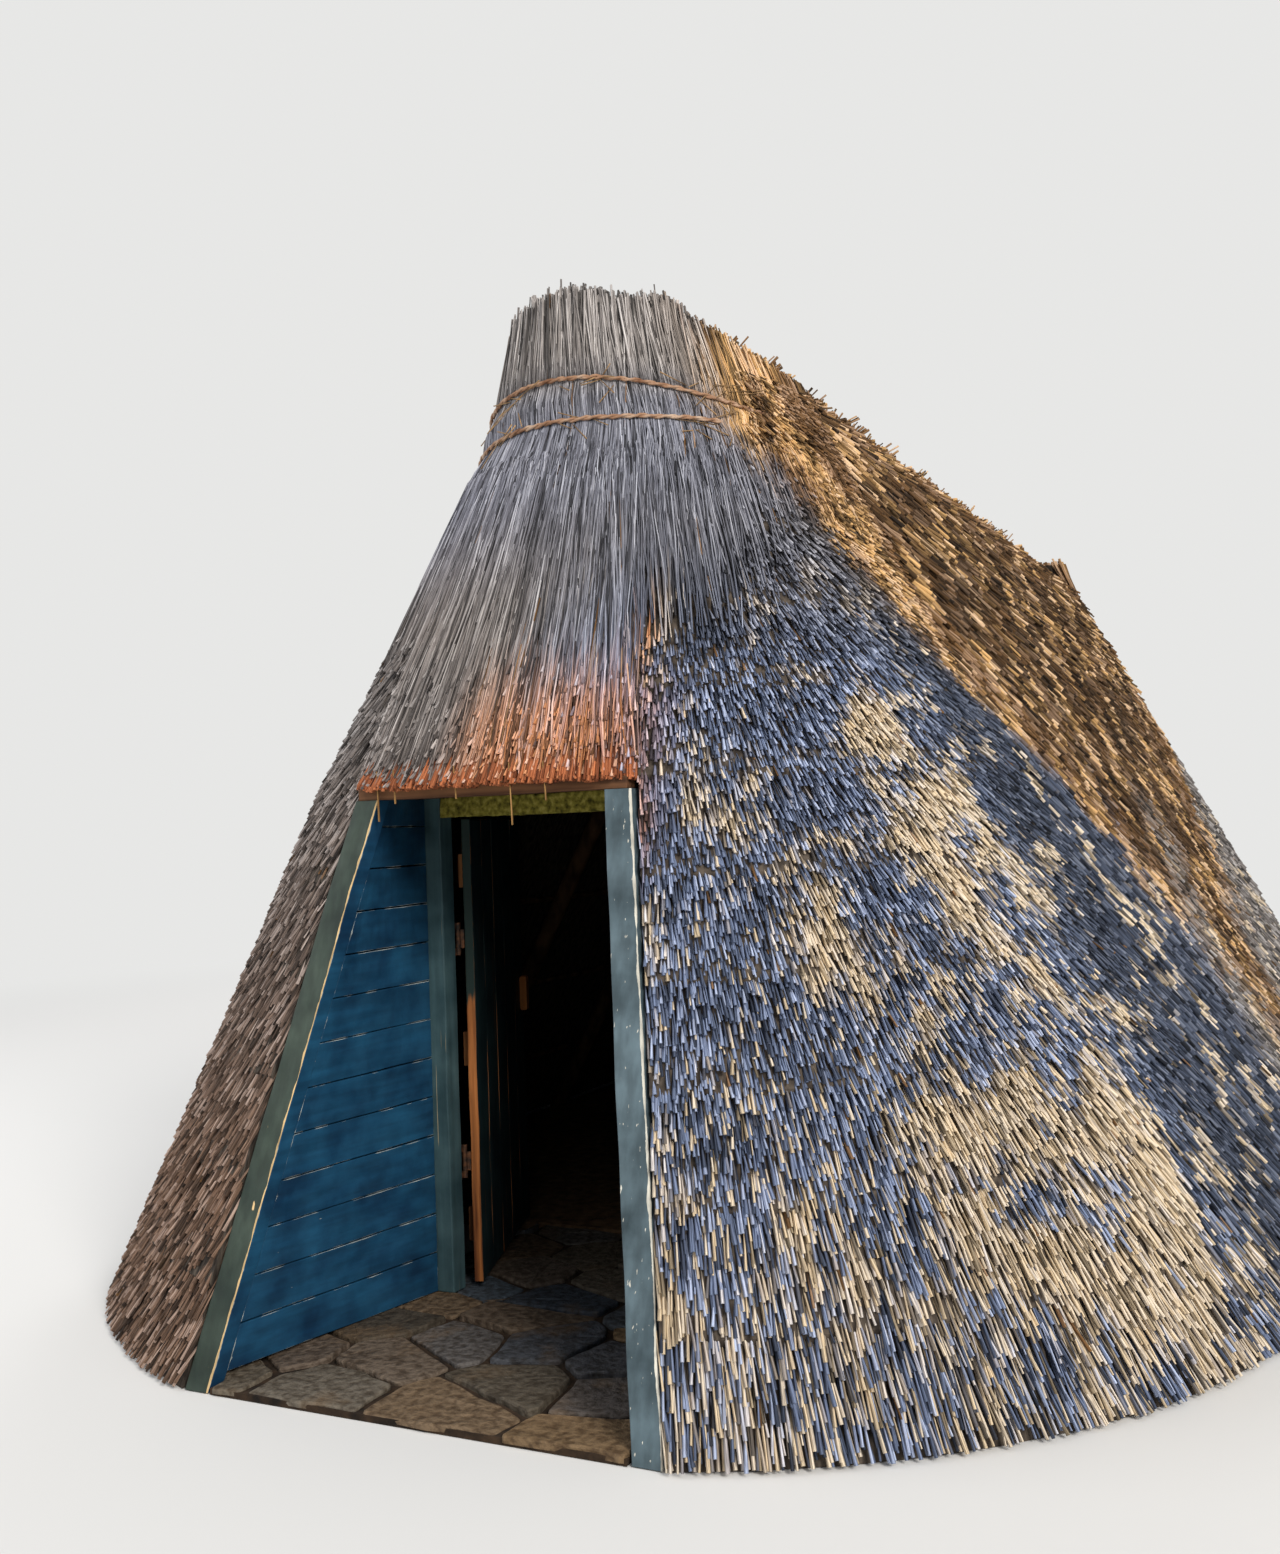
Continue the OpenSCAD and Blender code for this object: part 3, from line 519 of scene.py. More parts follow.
def straw_colour(paths, rng, combed=False):
    """Colours of stalks: the mean of their place, and each lighter or darker by chance.

    Short stalks take the colour of their cut end. Combed straw changes from point to point.
    """
    kind, count, tips = COMBED if combed else SHORT, len(paths), paths[:, 0]
    grain, odd = rng.normal(0, 0.16, count), rng.random(count)
    mean, golden_and_sunlit, bleached_and_sunlit = place_colour(tips, grain, odd)
    streak = patches(tips * (1, 1, kind["streak_z"]), kind["streak_scale"], 5)
    bundle = patches(tips * (1, 1, kind["bundle_z"]), 14.0, 6)
    foot = share_from(tips[:, 2], 0.5, 0)
    tone = (kind["spread"] + 0.30 * foot) * rng.normal(0, 1, count) + 0.10
    tone = tone - (rng.random(count) < 0.3) * rng.uniform(0.3, 1.5, count) * kind["darker"]
    tone = tone + kind["streaks"] * (streak - 0.5) + 0.36 * bleached_and_sunlit
    # Golden straw swings lighter and darker by clumps, which is partly painted sun and shade on
    # them.
    tone = np.clip(tone + (0.4 + 1.6 * golden_and_sunlit) * (bundle - 0.5), -1.9, 0.8)
    steps = range(paths.shape[1]) if combed else (0,)
    colours = np.stack([mean if step == 0 else place_colour(paths[:, step], grain, odd)[0]
                        for step in steps], axis=1) * np.exp(tone)[:, None, None]
    dull = np.clip(0.5 * tone, 0, 0.35)[:, None, None]
    colours = colours + (colours.mean(axis=2, keepdims=True) - colours) * dull
    peak = colours.max(axis=2, keepdims=True)
    return colours * np.minimum(1, 0.94 / peak)


def lay_straw(name, paths, width, rng, spread=(0.6, 1.3), depth=(0.8, 0.8), combed=False,
              slot="thatch", fade=0.45):
    """Stalks along paths, each with a width of its own and the colour of its place."""
    widths = width * rng.uniform(*spread, len(paths))
    depths = widths * (rng.uniform(*depth, len(paths)) if depth[0] < depth[1] else depth[0])
    lay_field(name, paths, widths, depths, straw_colour(paths, rng, combed), slot, fade)


# %% [markdown]
# A material is a small net of nodes, and the same few nodes come back in each. So a finish
# knows how to add them. Patterns are noise on Object coordinates, which keeps them still in
# every view.

# %% A finish, and its nodes
WHITE, BLACK = (1, 1, 1), (0, 0, 0)


class Finish:
    """A new material. Each of its ways to add a node gives that node's output."""

    def __init__(self, name, roughness):
        self.material = bpy.data.materials.new(name)
        self.material.use_nodes = True
        self.nodes, self.links = self.material.node_tree.nodes, self.material.node_tree.links
        self.shader = self.nodes["Principled BSDF"]
        self.shader.inputs["Roughness"].default_value = roughness
        self.shader.inputs["Specular IOR Level"].default_value = 0.25

    def attribute(self, name, output):
        node = self.nodes.new("ShaderNodeAttribute")
        node.attribute_name = name
        return node.outputs[output]

    def noise(self, scale, detail, stretch=(1, 1, 1)):
        """Noise, drawn out along an axis whose stretch is small."""
        where, mapping = self.nodes.new("ShaderNodeTexCoord"), self.nodes.new("ShaderNodeMapping")
        texture = self.nodes.new("ShaderNodeTexNoise")
        mapping.inputs["Scale"].default_value = stretch
        texture.inputs["Scale"].default_value = scale
        texture.inputs["Detail"].default_value = detail
        self.links.new(where.outputs["Object"], mapping.inputs["Vector"])
        self.links.new(mapping.outputs["Vector"], texture.inputs["Vector"])
        return texture.outputs["Fac"]

    def ramp(self, source, *stops):
        """A colour ramp on a value, with (place, linear colour) stops."""
        node = self.nodes.new("ShaderNodeValToRGB")
        while len(node.color_ramp.elements) < len(stops):
            node.color_ramp.elements.new(0.5)
        for element, (place, colour) in zip(node.color_ramp.elements, stops):
            element.position = place
            element.color = (*colour, 1)
        self.links.new(source, node.inputs["Fac"])
        return node.outputs["Color"]

    def mix(self, share, first, second, how="MIX"):
        """Two colours mixed by a share. Each of the three is an output or a plain value."""
        node = self.nodes.new("ShaderNodeMix")
        node.data_type = "RGBA"
        node.blend_type = how
        for value, place in ((share, 0), (first, 6), (second, 7)):
            if isinstance(value, bpy.types.NodeSocket):
                self.links.new(value, node.inputs[place])
            else:
                node.inputs[place].default_value = value if place == 0 else (*value, 1)
        return node.outputs[2]

    def weighted_sum(self, value, weight, other):
        node = self.nodes.new("ShaderNodeMath")
        node.operation = "MULTIPLY_ADD"
        node.inputs[1].default_value = weight
        self.links.new(value, node.inputs[0])
        self.links.new(other, node.inputs[2])
        return node.outputs[0]

    def span(self, value, low, high, first=0.0, last=1.0):
        """A value between low and high brought to between first and last."""
        node = self.nodes.new("ShaderNodeMapRange")
        ends = ("From Min", "From Max", "To Min", "To Max")
        for name, number in zip(ends, (low, high, first, last)):
            node.inputs[name].default_value = number
        self.links.new(value, node.inputs["Value"])
        return node.outputs["Result"]

    def done(self, colour, height, strength, distance):
        """Give the shader its colour and its bump, and hand over the material."""
        bump = self.nodes.new("ShaderNodeBump")
        bump.inputs["Strength"].default_value = strength
        bump.inputs["Distance"].default_value = distance
        self.links.new(height, bump.inputs["Height"])
        self.links.new(bump.outputs["Normal"], self.shader.inputs["Normal"])
        self.links.new(colour, self.shader.inputs["Base Color"])
        return self.material


def speckled(name, roughness, speck, stops, strength, distance):
    """A finish of one noise, which gives both the colour and the bump."""
    finish = Finish(name, roughness)
    value = finish.noise(*speck)
    return finish.done(finish.ramp(value, *stops), value, strength, distance)


# %% [markdown]
# The straw material reads the stalks' colour and adds fine streaks along each one, so that one
# modelled stalk reads as two or three thinner ones. The streaks follow the grain attribute, which
# runs across and along the stalk wherever it points. The imported straw below is dull and dark,
# painted shade for the gaps between the stalks.

# %% Materials for straw
def straw_material(name):
    stalk = Finish(name, 0.75)
    streak = stalk.nodes.new("ShaderNodeTexNoise")
    streak.inputs["Scale"].default_value = 1.0
    stalk.links.new(stalk.attribute("grain", "Vector"), streak.inputs["Vector"])
    fibre = streak.outputs["Fac"]
    shade = stalk.ramp(fibre, (0.36, (0.44, 0.43, 0.44)), (0.56, WHITE))
    colour = stalk.mix(1.0, stalk.attribute("straw", "Color"), shade, "MULTIPLY")
    return stalk.done(colour, fibre, 0.3, 0.002)


def packed_straw(name, dark, light):
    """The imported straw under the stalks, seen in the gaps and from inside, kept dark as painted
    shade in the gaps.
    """
    return speckled(name, 0.9, (55.0, 4.0, (1, 1, 0.07)), ((0.35, dark), (0.7, light)), 0.8, 0.01)


straw = straw_material("straw_stalks")
shaded_thatch_base = packed_straw("packed_straw", linear(38, 32, 28), linear(92, 82, 72))
shaded_crest_base = packed_straw("packed_golden_straw", linear(48, 32, 18), linear(120, 88, 54))
print("materials", [m.name for m in (straw, shaded_thatch_base, shaded_crest_base)])

# %% [markdown]
# The hips come first. Rows of cut ends run round the hip, and each row's stalks reach up under
# the row above. Turns are measured at the hip's centre, 0 at the front and 90 degrees at the
# side. Stalks that would cross the entrance are left out. Over the entrance and up to the tied
# head the straw is one long brushed mane instead. Beside the entrance it ends in a step, and
# higher up it thins out among the stubs.

# %% Thatch of the hips
FOOT_Z, LOW_TIP, ROOT_SUNK = 0.004, 0.010, 0.010
MANE_HEIGHTS = (1.60, 2.03, 2.10, 2.45, 2.80, HEAD_TOP)
MANE_TURNS = np.radians((23, 23, 38, 50, 58, 62))


def mane_edge(z, rng):
    """The turn at which the mane ends, ragged above the step beside the entrance."""
    return np.interp(z, MANE_HEIGHTS, MANE_TURNS) + rng.normal(0, 0.10, len(z)) * (z > 2.03)


def arc_turns(surface, z, low, high, pitch, rng):
    """Turns that are evenly spaced along a hip at a height, each a little off its place."""
    fine = np.linspace(low, high, 60)
    rim = surface(fine, z)
    length = np.concatenate(([0], np.cumsum(np.linalg.norm(np.diff(rim, axis=0), axis=1))))
    count = max(int(length[-1] / pitch), 1)
    places = (np.arange(count) + 0.5 + rng.uniform(-0.5, 0.5, count)) / count * length[-1]
    return np.interp(places, length, fine)


def up_the_hip(share, values):
    """A value at a share of the height: from the foot to the top, with a third one low down."""
    return np.interp(share, np.linspace(0, 1, len(values)) ** 2, values)


def hip_spots(surface, low, high, z_low, z_high, pitch, row, rng):
    """Turns and heights of the cut ends of a hip's rows, from the lowest row up."""
    turns, tips = [], []
    z = z_low
    while z < z_high:
        share = (z - z_low) / (z_high - z_low)
        here = arc_turns(surface, z, math.radians(low), math.radians(high),
                         np.interp(share, (0, 1), pitch), rng)
        turns.append(here)
        step = up_the_hip(share, row)
        tips.append(z + rng.uniform(-0.8, 0.8, len(here)) * step)
        z += step
    lowest = max(z_low - LOW_TIP, LOW_TIP)
    return np.concatenate(turns), np.maximum(np.concatenate(tips), lowest)


def drawn_out(first, last, steps):
    """Values in even steps from first to last, for each stalk."""
    return first[:, None] + (last - first)[:, None] * np.linspace(0, 1, steps)[None, :]


def short_paths(surface, tips_at, roots_at, lifts):
    """Paths of short stalks from the cut end, proud by its lift, to the sunk root."""
    along, z = (drawn_out(first, last, 2) for first, last in zip(tips_at, roots_at))
    share = np.linspace(0, 1, 2)[None, :]
    proud = (COURSE_STEP + lifts[:, None]) * (1 - share) - ROOT_SUNK * share
    return surface(along, z, proud)


# %% [markdown]
# A row's stubs get finer and shorter towards the top, as the far ones do on the hut: each value
# below goes from the foot to the top. The right side is cut close and dense. The left side and
# the rear, which the picture hardly shows, take longer and fewer stalks.

# %% Stubs of the hips
def hip_stubs(name, surface, low, high, z_low, z_high, seed, pitch, row, width, length, lift,
              tilt=0.08, front=False, fade=0.5):
    """Rows of short stalks between two turns, in degrees."""
    rng = np.random.default_rng(seed)
    turns, tips = hip_spots(surface, low, high, z_low, z_high, pitch, row, rng)
    if front:
        x = np.abs(surface(turns, tips)[:, 0])
        beside = x > post_edge(tips) + 0.004
        mane = (turns < mane_edge(tips, rng)) & (turns > -0.40)
        keep = np.where(tips < LINTEL_TOP, beside, ~mane)
        turns, tips = turns[keep], tips[keep]
    count = len(turns)
    share = (tips - z_low) / (z_high - z_low)
    lengths = up_the_hip(share, length) * rng.uniform(0.6, 1.4, count)
    roots = np.minimum(tips + lengths, HEAD_TOP - 0.16)
    sway = rng.normal(0, tilt, count) * lengths / np.maximum(half_at(tips), 0.3)
    lifts = rng.uniform(0.10, 1.0, count) ** 1.5 * lift
    paths = short_paths(surface, (turns, tips), (turns + sway, roots), lifts)
    lay_straw(name, paths, np.interp(share, (0, 1), width), rng, (0.6, 1.4), (0.6, 0.9),
              fade=fade)


RIGHT = dict(pitch=(0.0078, 0.0074), row=(0.056, 0.032, 0.025), width=(0.0090, 0.0076),
             length=(0.150, 0.085, 0.048), lift=0.022, tilt=0.07, front=True)
LEFT = dict(pitch=(0.0086, 0.0078), row=(0.052, 0.056), width=(0.0090, 0.0080),
            length=(0.110, 0.130), lift=0.016, tilt=0.09, front=True)
OVER_DOOR = dict(pitch=(0.0080, 0.0110), row=(0.030, 0.050), width=(0.0084, 0.0076),
                 length=(0.070, 0.110), lift=0.020, tilt=0.06, fade=0.3)
REAR = dict(pitch=(0.0240, 0.0200), row=(0.076, 0.074), width=(0.0280, 0.0220),
            length=(0.15, 0.16), lift=0.020)
for name, surface, *part, look in (
        ("stubs_front_right", front_hip, 0, 55, FOOT_Z, 2.80, 11, RIGHT),
        ("stubs_corner_right", front_hip, 55, 90, FOOT_Z, 3.02, 12, RIGHT),
        ("stalks_front_left", front_hip, -55, 0, FOOT_Z, 2.12, 13, LEFT),
        ("stalks_corner_left", front_hip, -90, -55, FOOT_Z, 2.12, 14, LEFT),
        ("stubs_over_door", front_hip, -24, 23, 1.66, 2.00, 15, OVER_DOOR),
        ("stalks_rear_left", rear_hip, 0, 90, FOOT_Z, 2.55, 31, REAR),
        ("stalks_rear_right", rear_hip, -90, 0, FOOT_Z, 2.55, 32, REAR)):
    hip_stubs(name, surface, *part, **look)

# %% [markdown]
# The mane is made of strands of half a metre with joints, so that they follow the curve of the
# hip. Each strand keeps its own height over the courses for most of its length and dives in
# only at its root. So long lines show and few ends, as on brushed straw. The mane ends in a
# step beside the entrance.

# %% Long straw of the front
def mane_field(name, surface, seed, low, high, z_low, z_high, pitch, row, width, front=True):
    rng = np.random.default_rng(seed)
    turns, tips = hip_spots(surface, low, high, z_low, z_high, (pitch, pitch), (row, row), rng)
    if front:
        inside = turns < mane_edge(tips, rng)
        over_door = (turns > -0.42) | (tips > 2.04)
        turns, tips = turns[inside & over_door], tips[inside & over_door]
    count = len(turns)
    roots = np.minimum(tips + rng.uniform(0.35, 0.65, count), NECK_Z + 0.05)
    turn = drawn_out(turns, turns + rng.normal(0, 0.014, count), 4)
    turn = turn + rng.normal(0, 0.005, turn.shape)
    height = COURSE_STEP + rng.uniform(0, 0.014, count)
    proud = height[:, None] * np.array([0.85, 1, 1, 0]) - np.array([0, 0, 0, 0.008])
    lay_straw(name, surface(turn, drawn_out(tips, roots, 4), proud), width, rng, combed=True,
              fade=0.15)


mane_field("mane_front_low", front_hip, 21, -90, 66, 1.655, 2.20, 0.0062, 0.062, 0.0068)
mane_field("mane_front_high", front_hip, 22, -90, 70, 2.20, 2.66, 0.0060, 0.066, 0.0064)
mane_field("mane_rear", rear_hip, 23, -90, 90, 2.40, 2.66, 0.017, 0.070, 0.0170, front=False)

# %% [markdown]
# The long sides are flat, so their rows are straight lines. The right side is the one that the
# picture shows, and its stalks are finer. A slow wave in the rows keeps them from looking
# ruled, and near the ridge the straw is ruffled in patches.

# %% Thatch of the long sides
def side_field(name, surface, seed, z_low, z_high, pitch, row, width, length, lift):
    rng = np.random.default_rng(seed)
    count = int((REAR_C - FRONT_C) / pitch)
    places, tips = [], []
    for z in np.arange(z_low, z_high, row):
        y = FRONT_C + (np.arange(count) + 0.5 + rng.uniform(-0.45, 0.45, count)) * pitch
        places.append(y)
        tips.append(z + 0.02 * np.sin(y * 1.9 + z) + rng.uniform(-0.7, 0.7, count) * row)
    places, tips = np.concatenate(places), np.maximum(np.concatenate(tips), LOW_TIP)
    count = len(places)
    lengths = rng.uniform(0.7, 1.3, count) * length
    roots = np.minimum(tips + lengths, SIDE_HEIGHTS[-1])
    lean = places + rng.normal(0, 0.12, count) * lengths
    ruffled = patches(surface(places, tips), 7.0, seed) * share_from(tips, 1.8, 2.4)
    lifts = rng.uniform(0.2, 1, count) * lift * (1 + 1.6 * ruffled)
    paths = short_paths(surface, (places, tips), (lean, roots), lifts)
    lay_straw(name, paths, width, rng, (0.6, 1.4), (0.6, 0.9), fade=0.5)


side_field("stalks_right_low", right_side, 41, FOOT_Z, 1.55, 0.0165, 0.060, 0.0145, 0.13, 0.024)
side_field("stalks_right_high", right_side, 42, 1.55, 3.18, 0.0165, 0.060, 0.0145, 0.13, 0.024)
side_field("stalks_left_side", left_side, 43, FOOT_Z, 3.18, 0.0290, 0.084, 0.0320, 0.17, 0.020)

# %% [markdown]
# At each end of the ridge the long straw of the hip is gathered into a head and tied twice. The
# bands sink at their ends, and on the right side they dive under the straw. The stalks of a head
# stand upright and end at uneven heights, like a cut sheaf, and swell between the bands.

# %% Straw of the tied heads
BAND_Z, BAND_DROPS, BAND_SAG, BAND_D = (2.810, 2.950), (0, 0.110), 0.045, 0.022
HEAD_TURN = 92


def band_height(which, turn, drops=BAND_DROPS):
    """Height of a band's middle at a turn."""
    fall = np.where(turn > 0, drops[which], BAND_SAG)
    return BAND_Z[which] - fall * np.sin(turn) ** 2


def ragged(turn, rng):
    """How far stalks stand above the cut top: two tufts with a dip between them."""
    degrees = np.degrees(turn)
    tufts = 0.030 * np.exp(-((degrees - 3) / 16) ** 2) + 0.045 * np.exp(-((degrees - 38) / 6) ** 2)
    return 0.012 + tufts + rng.normal(0, 0.013, len(turn))


def neck_strands(name, surface, seed, count, width):
    """Long strands that pass under both bands, pinched there and full between them."""
    rng = np.random.default_rng(seed)
    turn = np.radians(rng.uniform(-HEAD_TURN, HEAD_TURN, count))
    tip = rng.uniform(2.44, 2.70, count)
    low, high = band_height(0, turn), band_height(1, turn)
    z = np.stack((tip, (tip + low) / 2, low, (low + high) / 2, high, high + 0.05), axis=1)
    loose = rng.uniform(0, 1, count)[:, None] * np.array([8, 8, 1, 8, 1, 0]) / 1000
    proud = np.array([0.018, 0.017, 0.001, 0.010, 0.001, -0.004]) + loose
    side = turn[:, None] + rng.normal(0, 0.02, count)[:, None] * np.linspace(1, -1, 6)
    lay_straw(name, surface(side, z, proud), width, rng, combed=True, fade=0.1)


def head_field(name, surface, seed, count, width):
    """The stalks of a head above the upper band, up to a ragged top."""
    rng = np.random.default_rng(seed)
    turns = np.radians(rng.uniform(-HEAD_TURN, HEAD_TURN, count))
    tops = head_top_at(turns) + ragged(turns, rng)
    feet = band_height(1, turns) - 0.02
    shy = rng.uniform(0, 1, count) ** 2
    above = 1 - np.linspace(0, 1, 4)[None, :]
    turn = turns[:, None] + rng.normal(0, 0.035, count)[:, None] * above
    proud = (np.array([0.016, 0.015, 0.012, 0.002])
             + rng.normal(0, 0.005, count)[:, None] * above - 0.06 * shy[:, None] * above)
    lay_straw(name, surface(turn, drawn_out(tops, feet, 4), proud), width, rng, combed=True,
              fade=0.1)


neck_strands("neck_straw_front", front_hip, 50, 1900, 0.0072)
neck_strands("neck_straw_rear", rear_hip, 58, 550, 0.0190)
head_field("head_straw_front", front_hip, 51, 3000, 0.0070)
head_field("head_straw_rear", rear_hip, 52, 900, 0.0185)

# %% [markdown]
# From above, a head is a cut sheaf: short upright stalks that fill its top. They stand on the
# packed thatch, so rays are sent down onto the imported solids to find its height.

# %% Cut tops of the heads
packed_thatch = [BVHTree.FromPolygons([v.co for v in packed.data.vertices],
                                      [p.vertices for p in packed.data.polygons])
                 for node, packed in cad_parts.items() if node.startswith("thatch")]


def packed_height(x, y):
    """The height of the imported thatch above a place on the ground."""
    hits = [tree.ray_cast(Vector((x, y, 5)), Vector((0, 0, -1)))[0] for tree in packed_thatch]
    return max((hit.z for hit in hits if hit is not None), default=0.0)


def head_top(name, surface, seed, count, width):
    """Short upright stalks that fill the cut top of a head."""
    rng = np.random.default_rng(seed)
    turns = np.radians(rng.uniform(-90, 90, count))
    share = np.sqrt(rng.uniform(0.02, 1, count))
    rim = surface(turns, head_top_at(turns))
    centre = surface(np.zeros(1), HEAD_TOP)[0] * (0, 1, 1)
    centre[1] -= math.copysign(HEAD_REACH, centre[1])
    tips = centre + (rim - centre) * share[:, None]
    tips[:, 2] = np.maximum(tips[:, 2], [packed_height(x, y) for x, y in tips[:, :2]])
    roots = tips - (0, 0, 0.03)
    tips[:, 2] += ragged(turns, rng)
    tips[:, :2] += rng.normal(0, 0.010, (count, 2))
    lay_straw(name, np.stack((tips, roots), axis=1), width, rng, (0.7, 1.3))


head_top("head_top_front", front_hip, 53, 2000, 0.015)
head_top("head_top_rear", rear_hip, 54, 1100, 0.021)

# %% [markdown]
# A band is a withy of two twisted strands. Each strand is a path that circles the band's middle
# line, drawn as a curve with a round bevel and then turned into a mesh, which is simpler than
# twisting a solid.

# %% Tie bands
def band_strand(surface, which, last_turn, phase, drops, rng):
    """Points of one strand of a band."""
    turns = np.radians(np.linspace(-93, last_turn, 150))
    radius = 0.0036 + 0.0012 * np.sin(turns * 17 + phase)
    angle = turns * 46 + phase
    z = band_height(which, turns, drops) + radius * np.sin(angle) + rng.normal(0, 0.0010, 150)
    return surface(turns, z, BAND_D / 2 + 0.002 + radius * np.cos(angle))


def twisted_bands(name, surface, seed, ends, drops, node):
    rng = np.random.default_rng(seed)
    curve = bpy.data.curves.new(name, "CURVE")
    curve.dimensions = "3D"
    curve.bevel_depth, curve.bevel_resolution, curve.use_fill_caps = 0.0048, 1, True
    for which, last_turn in enumerate(ends):
        for phase in (0, math.pi):
            points = band_strand(surface, which, last_turn, phase, drops, rng)
            spline = curve.splines.new("POLY")
            spline.points.add(len(points) - 1)
            spline.points.foreach_set("co", np.c_[points, np.ones(len(points))].ravel())
    drawn = bpy.data.objects.new(name + "_curve", curve)
    bpy.context.collection.objects.link(drawn)
    mesh = bpy.data.meshes.new_from_object(drawn)
    mesh.name = name
    bpy.data.objects.remove(drawn)
    mesh.materials.clear()
    add_piece(name, mesh, withy, "withy", node)
    print(name, len(mesh.polygons), "faces")


def withy_material():
    twig = Finish("withy", 0.8)
    tone = twig.ramp(twig.noise(16.0, 4.0), (0.30, linear(104, 66, 42)),
                     (0.50, linear(156, 120, 94)), (0.72, linear(196, 172, 150)))
    return twig.done(tone, twig.noise(240.0, 2.0), 0.6, 0.002)


withy = withy_material()
twisted_bands("withy_bands_front", front_hip, 55, (46, 61), BAND_DROPS, "tie_bands_front")
twisted_bands("withy_bands_rear", rear_hip, 56, (60, 60), (0, 0), "tie_bands_rear")

# %% [markdown]
# A few short stalks stick out near the knots of the bands. Their places are left to seeded
# chance, round five turns of the head.

# %% Loose straws of the bands
def loose_straws(name, seed, count):
    rng = np.random.default_rng(seed)
    turns = np.radians(rng.choice((-60, -20, 12, 40, 52), count) + rng.normal(0, 5, count))
    z = np.choose(rng.integers(0, 2, count), BAND_Z) - rng.uniform(0, 0.04, count)
    ends = turns + rng.choice((-1, 1), count) * rng.uniform(0.06, 0.22, count)
    tips = front_hip(ends, z + rng.uniform(-0.10, 0.05, count), 0.030)
    roots = front_hip(turns, z, 0.012)
    widths = np.full(count, 0.0042)
    colours = linear(196, 158, 112) * rng.uniform(0.6, 1.1, (count, 1, 1))
    lay_field(name, np.stack((tips, roots), axis=1), widths, widths, colours, "withy")


loose_straws("loose_straws_front", 57, 46)

# %% [markdown]
# The crest is a roll of newer, golden straw, whose colour also carries painted sunlight. Bundles
# lie across the ridge and hang down both sides, and their ends stick up in tufts. Rows of stalks
# over the roll's outline give the ragged line that stands against the sky.

# %% Straw of the ridge roll
CREST_OUTLINE = ((0.355, 3.125), (0.290, 3.200), (0.197, 3.219), (0.130, 3.291), (0.090, CREST_Z))


def crest_point(down, proud, side):
    """A point on the roll: down is 0 at the crest and 1 at its lower edge."""
    xs, zs = zip(*CREST_OUTLINE[::-1])
    places = np.linspace(0, 1, len(xs))
    return np.stack((side * (np.interp(down, places, xs) + 0.4 * proud),
                     np.interp(down, places, zs) + proud), axis=-1)


def crest_field(name, seed, count, width):
    rng = np.random.default_rng(seed)
    side = np.where(rng.random(count) < 0.5, -1.0, 1.0)
    y = rng.uniform(FRONT_C - 0.05, REAR_C + 0.05, count)
    down = rng.uniform(0.10, 1.0, count)
    clump = patches(np.stack((side + 2 * down, y, 0 * y), -1), 6.0, seed)
    root_down = np.maximum(down - rng.uniform(0.25, 0.45, count), -0.1)
    tip = crest_point(down, rng.uniform(0.0, 0.020, count) + 0.045 * clump ** 2, side)
    root = crest_point(root_down, -0.004, side)
    sway = rng.normal(0, 0.03, count)
    paths = np.stack((np.stack((tip[:, 0], y + sway, tip[:, 1]), -1),
                      np.stack((root[:, 0], y, root[:, 1]), -1)), axis=1)
    lay_straw(name, paths, width, rng, depth=(0.7, 0.7), slot="new_thatch")


def crest_tufts(name, seed, clumps, stalks, width):
    """Clumps of ends that stick up along the crest and lean their own way."""
    rng = np.random.default_rng(seed)
    middle = np.sort(rng.uniform(FRONT_C - 0.02, REAR_C, clumps)).repeat(stalks)
    tall = rng.uniform(0.015, 0.085, clumps).repeat(stalks)
    lean = rng.normal(0, 0.030, (clumps, 2)).repeat(stalks, axis=0)
    count = clumps * stalks
    x = rng.uniform(-0.10, 0.10, count)
    y = middle + rng.normal(0, 0.030, count)
    root = np.stack((x, y, CREST_Z - 0.03 - 0.3 * np.abs(x)), -1)
    rise = np.minimum(tall * rng.uniform(0.4, 1.0, count), 0.105) + 0.02
    tip = root + np.stack((0.9 * x + lean[:, 0], lean[:, 1] + rng.normal(0, 0.010, count),
                           rise), -1)
    lay_straw(name, np.stack((tip, root), axis=1), width, rng, slot="new_thatch")


crest_field("ridge_straw", 61, 8600, 0.0175)
crest_tufts("ridge_tufts", 62, 100, 30, 0.0100)

# %% [markdown]
# Over the entrance the thatch ends in a cut fringe. Its lower edge is thick and reddish brown,
# where the stalks' ends are open and less weathered, and a few loose straws hang down.

# %% Cut fringe over the entrance
def door_fringe(name, seed, count):
    rng = np.random.default_rng(seed)
    limit = math.asin(post_edge(LINTEL_TOP) / half_at(LINTEL_TOP))
    turns = rng.uniform(-limit, limit, count)
    depth = rng.uniform(0, 1, count) ** 1.5
    inset = -0.19 * depth
    tip_z = LINTEL_TOP + rng.uniform(-0.012, 0.008, count) + 0.003 * np.sin(turns * 60)
    tips = front_hip(turns, tip_z, COURSE_STEP + 0.012 + inset)
    roots = front_hip(turns, tip_z + 0.08, COURSE_STEP + 0.002 + inset)
    widths = 0.0100 * rng.uniform(0.7, 1.3, count)
    dark, light = linear(96, 46, 24), linear(224, 136, 88)
    colours = dark + (light - dark) * rng.random((count, 1, 1))
    lay_field(name, np.stack((tips, roots), axis=1), widths, widths * 0.8, colours, "new_thatch")


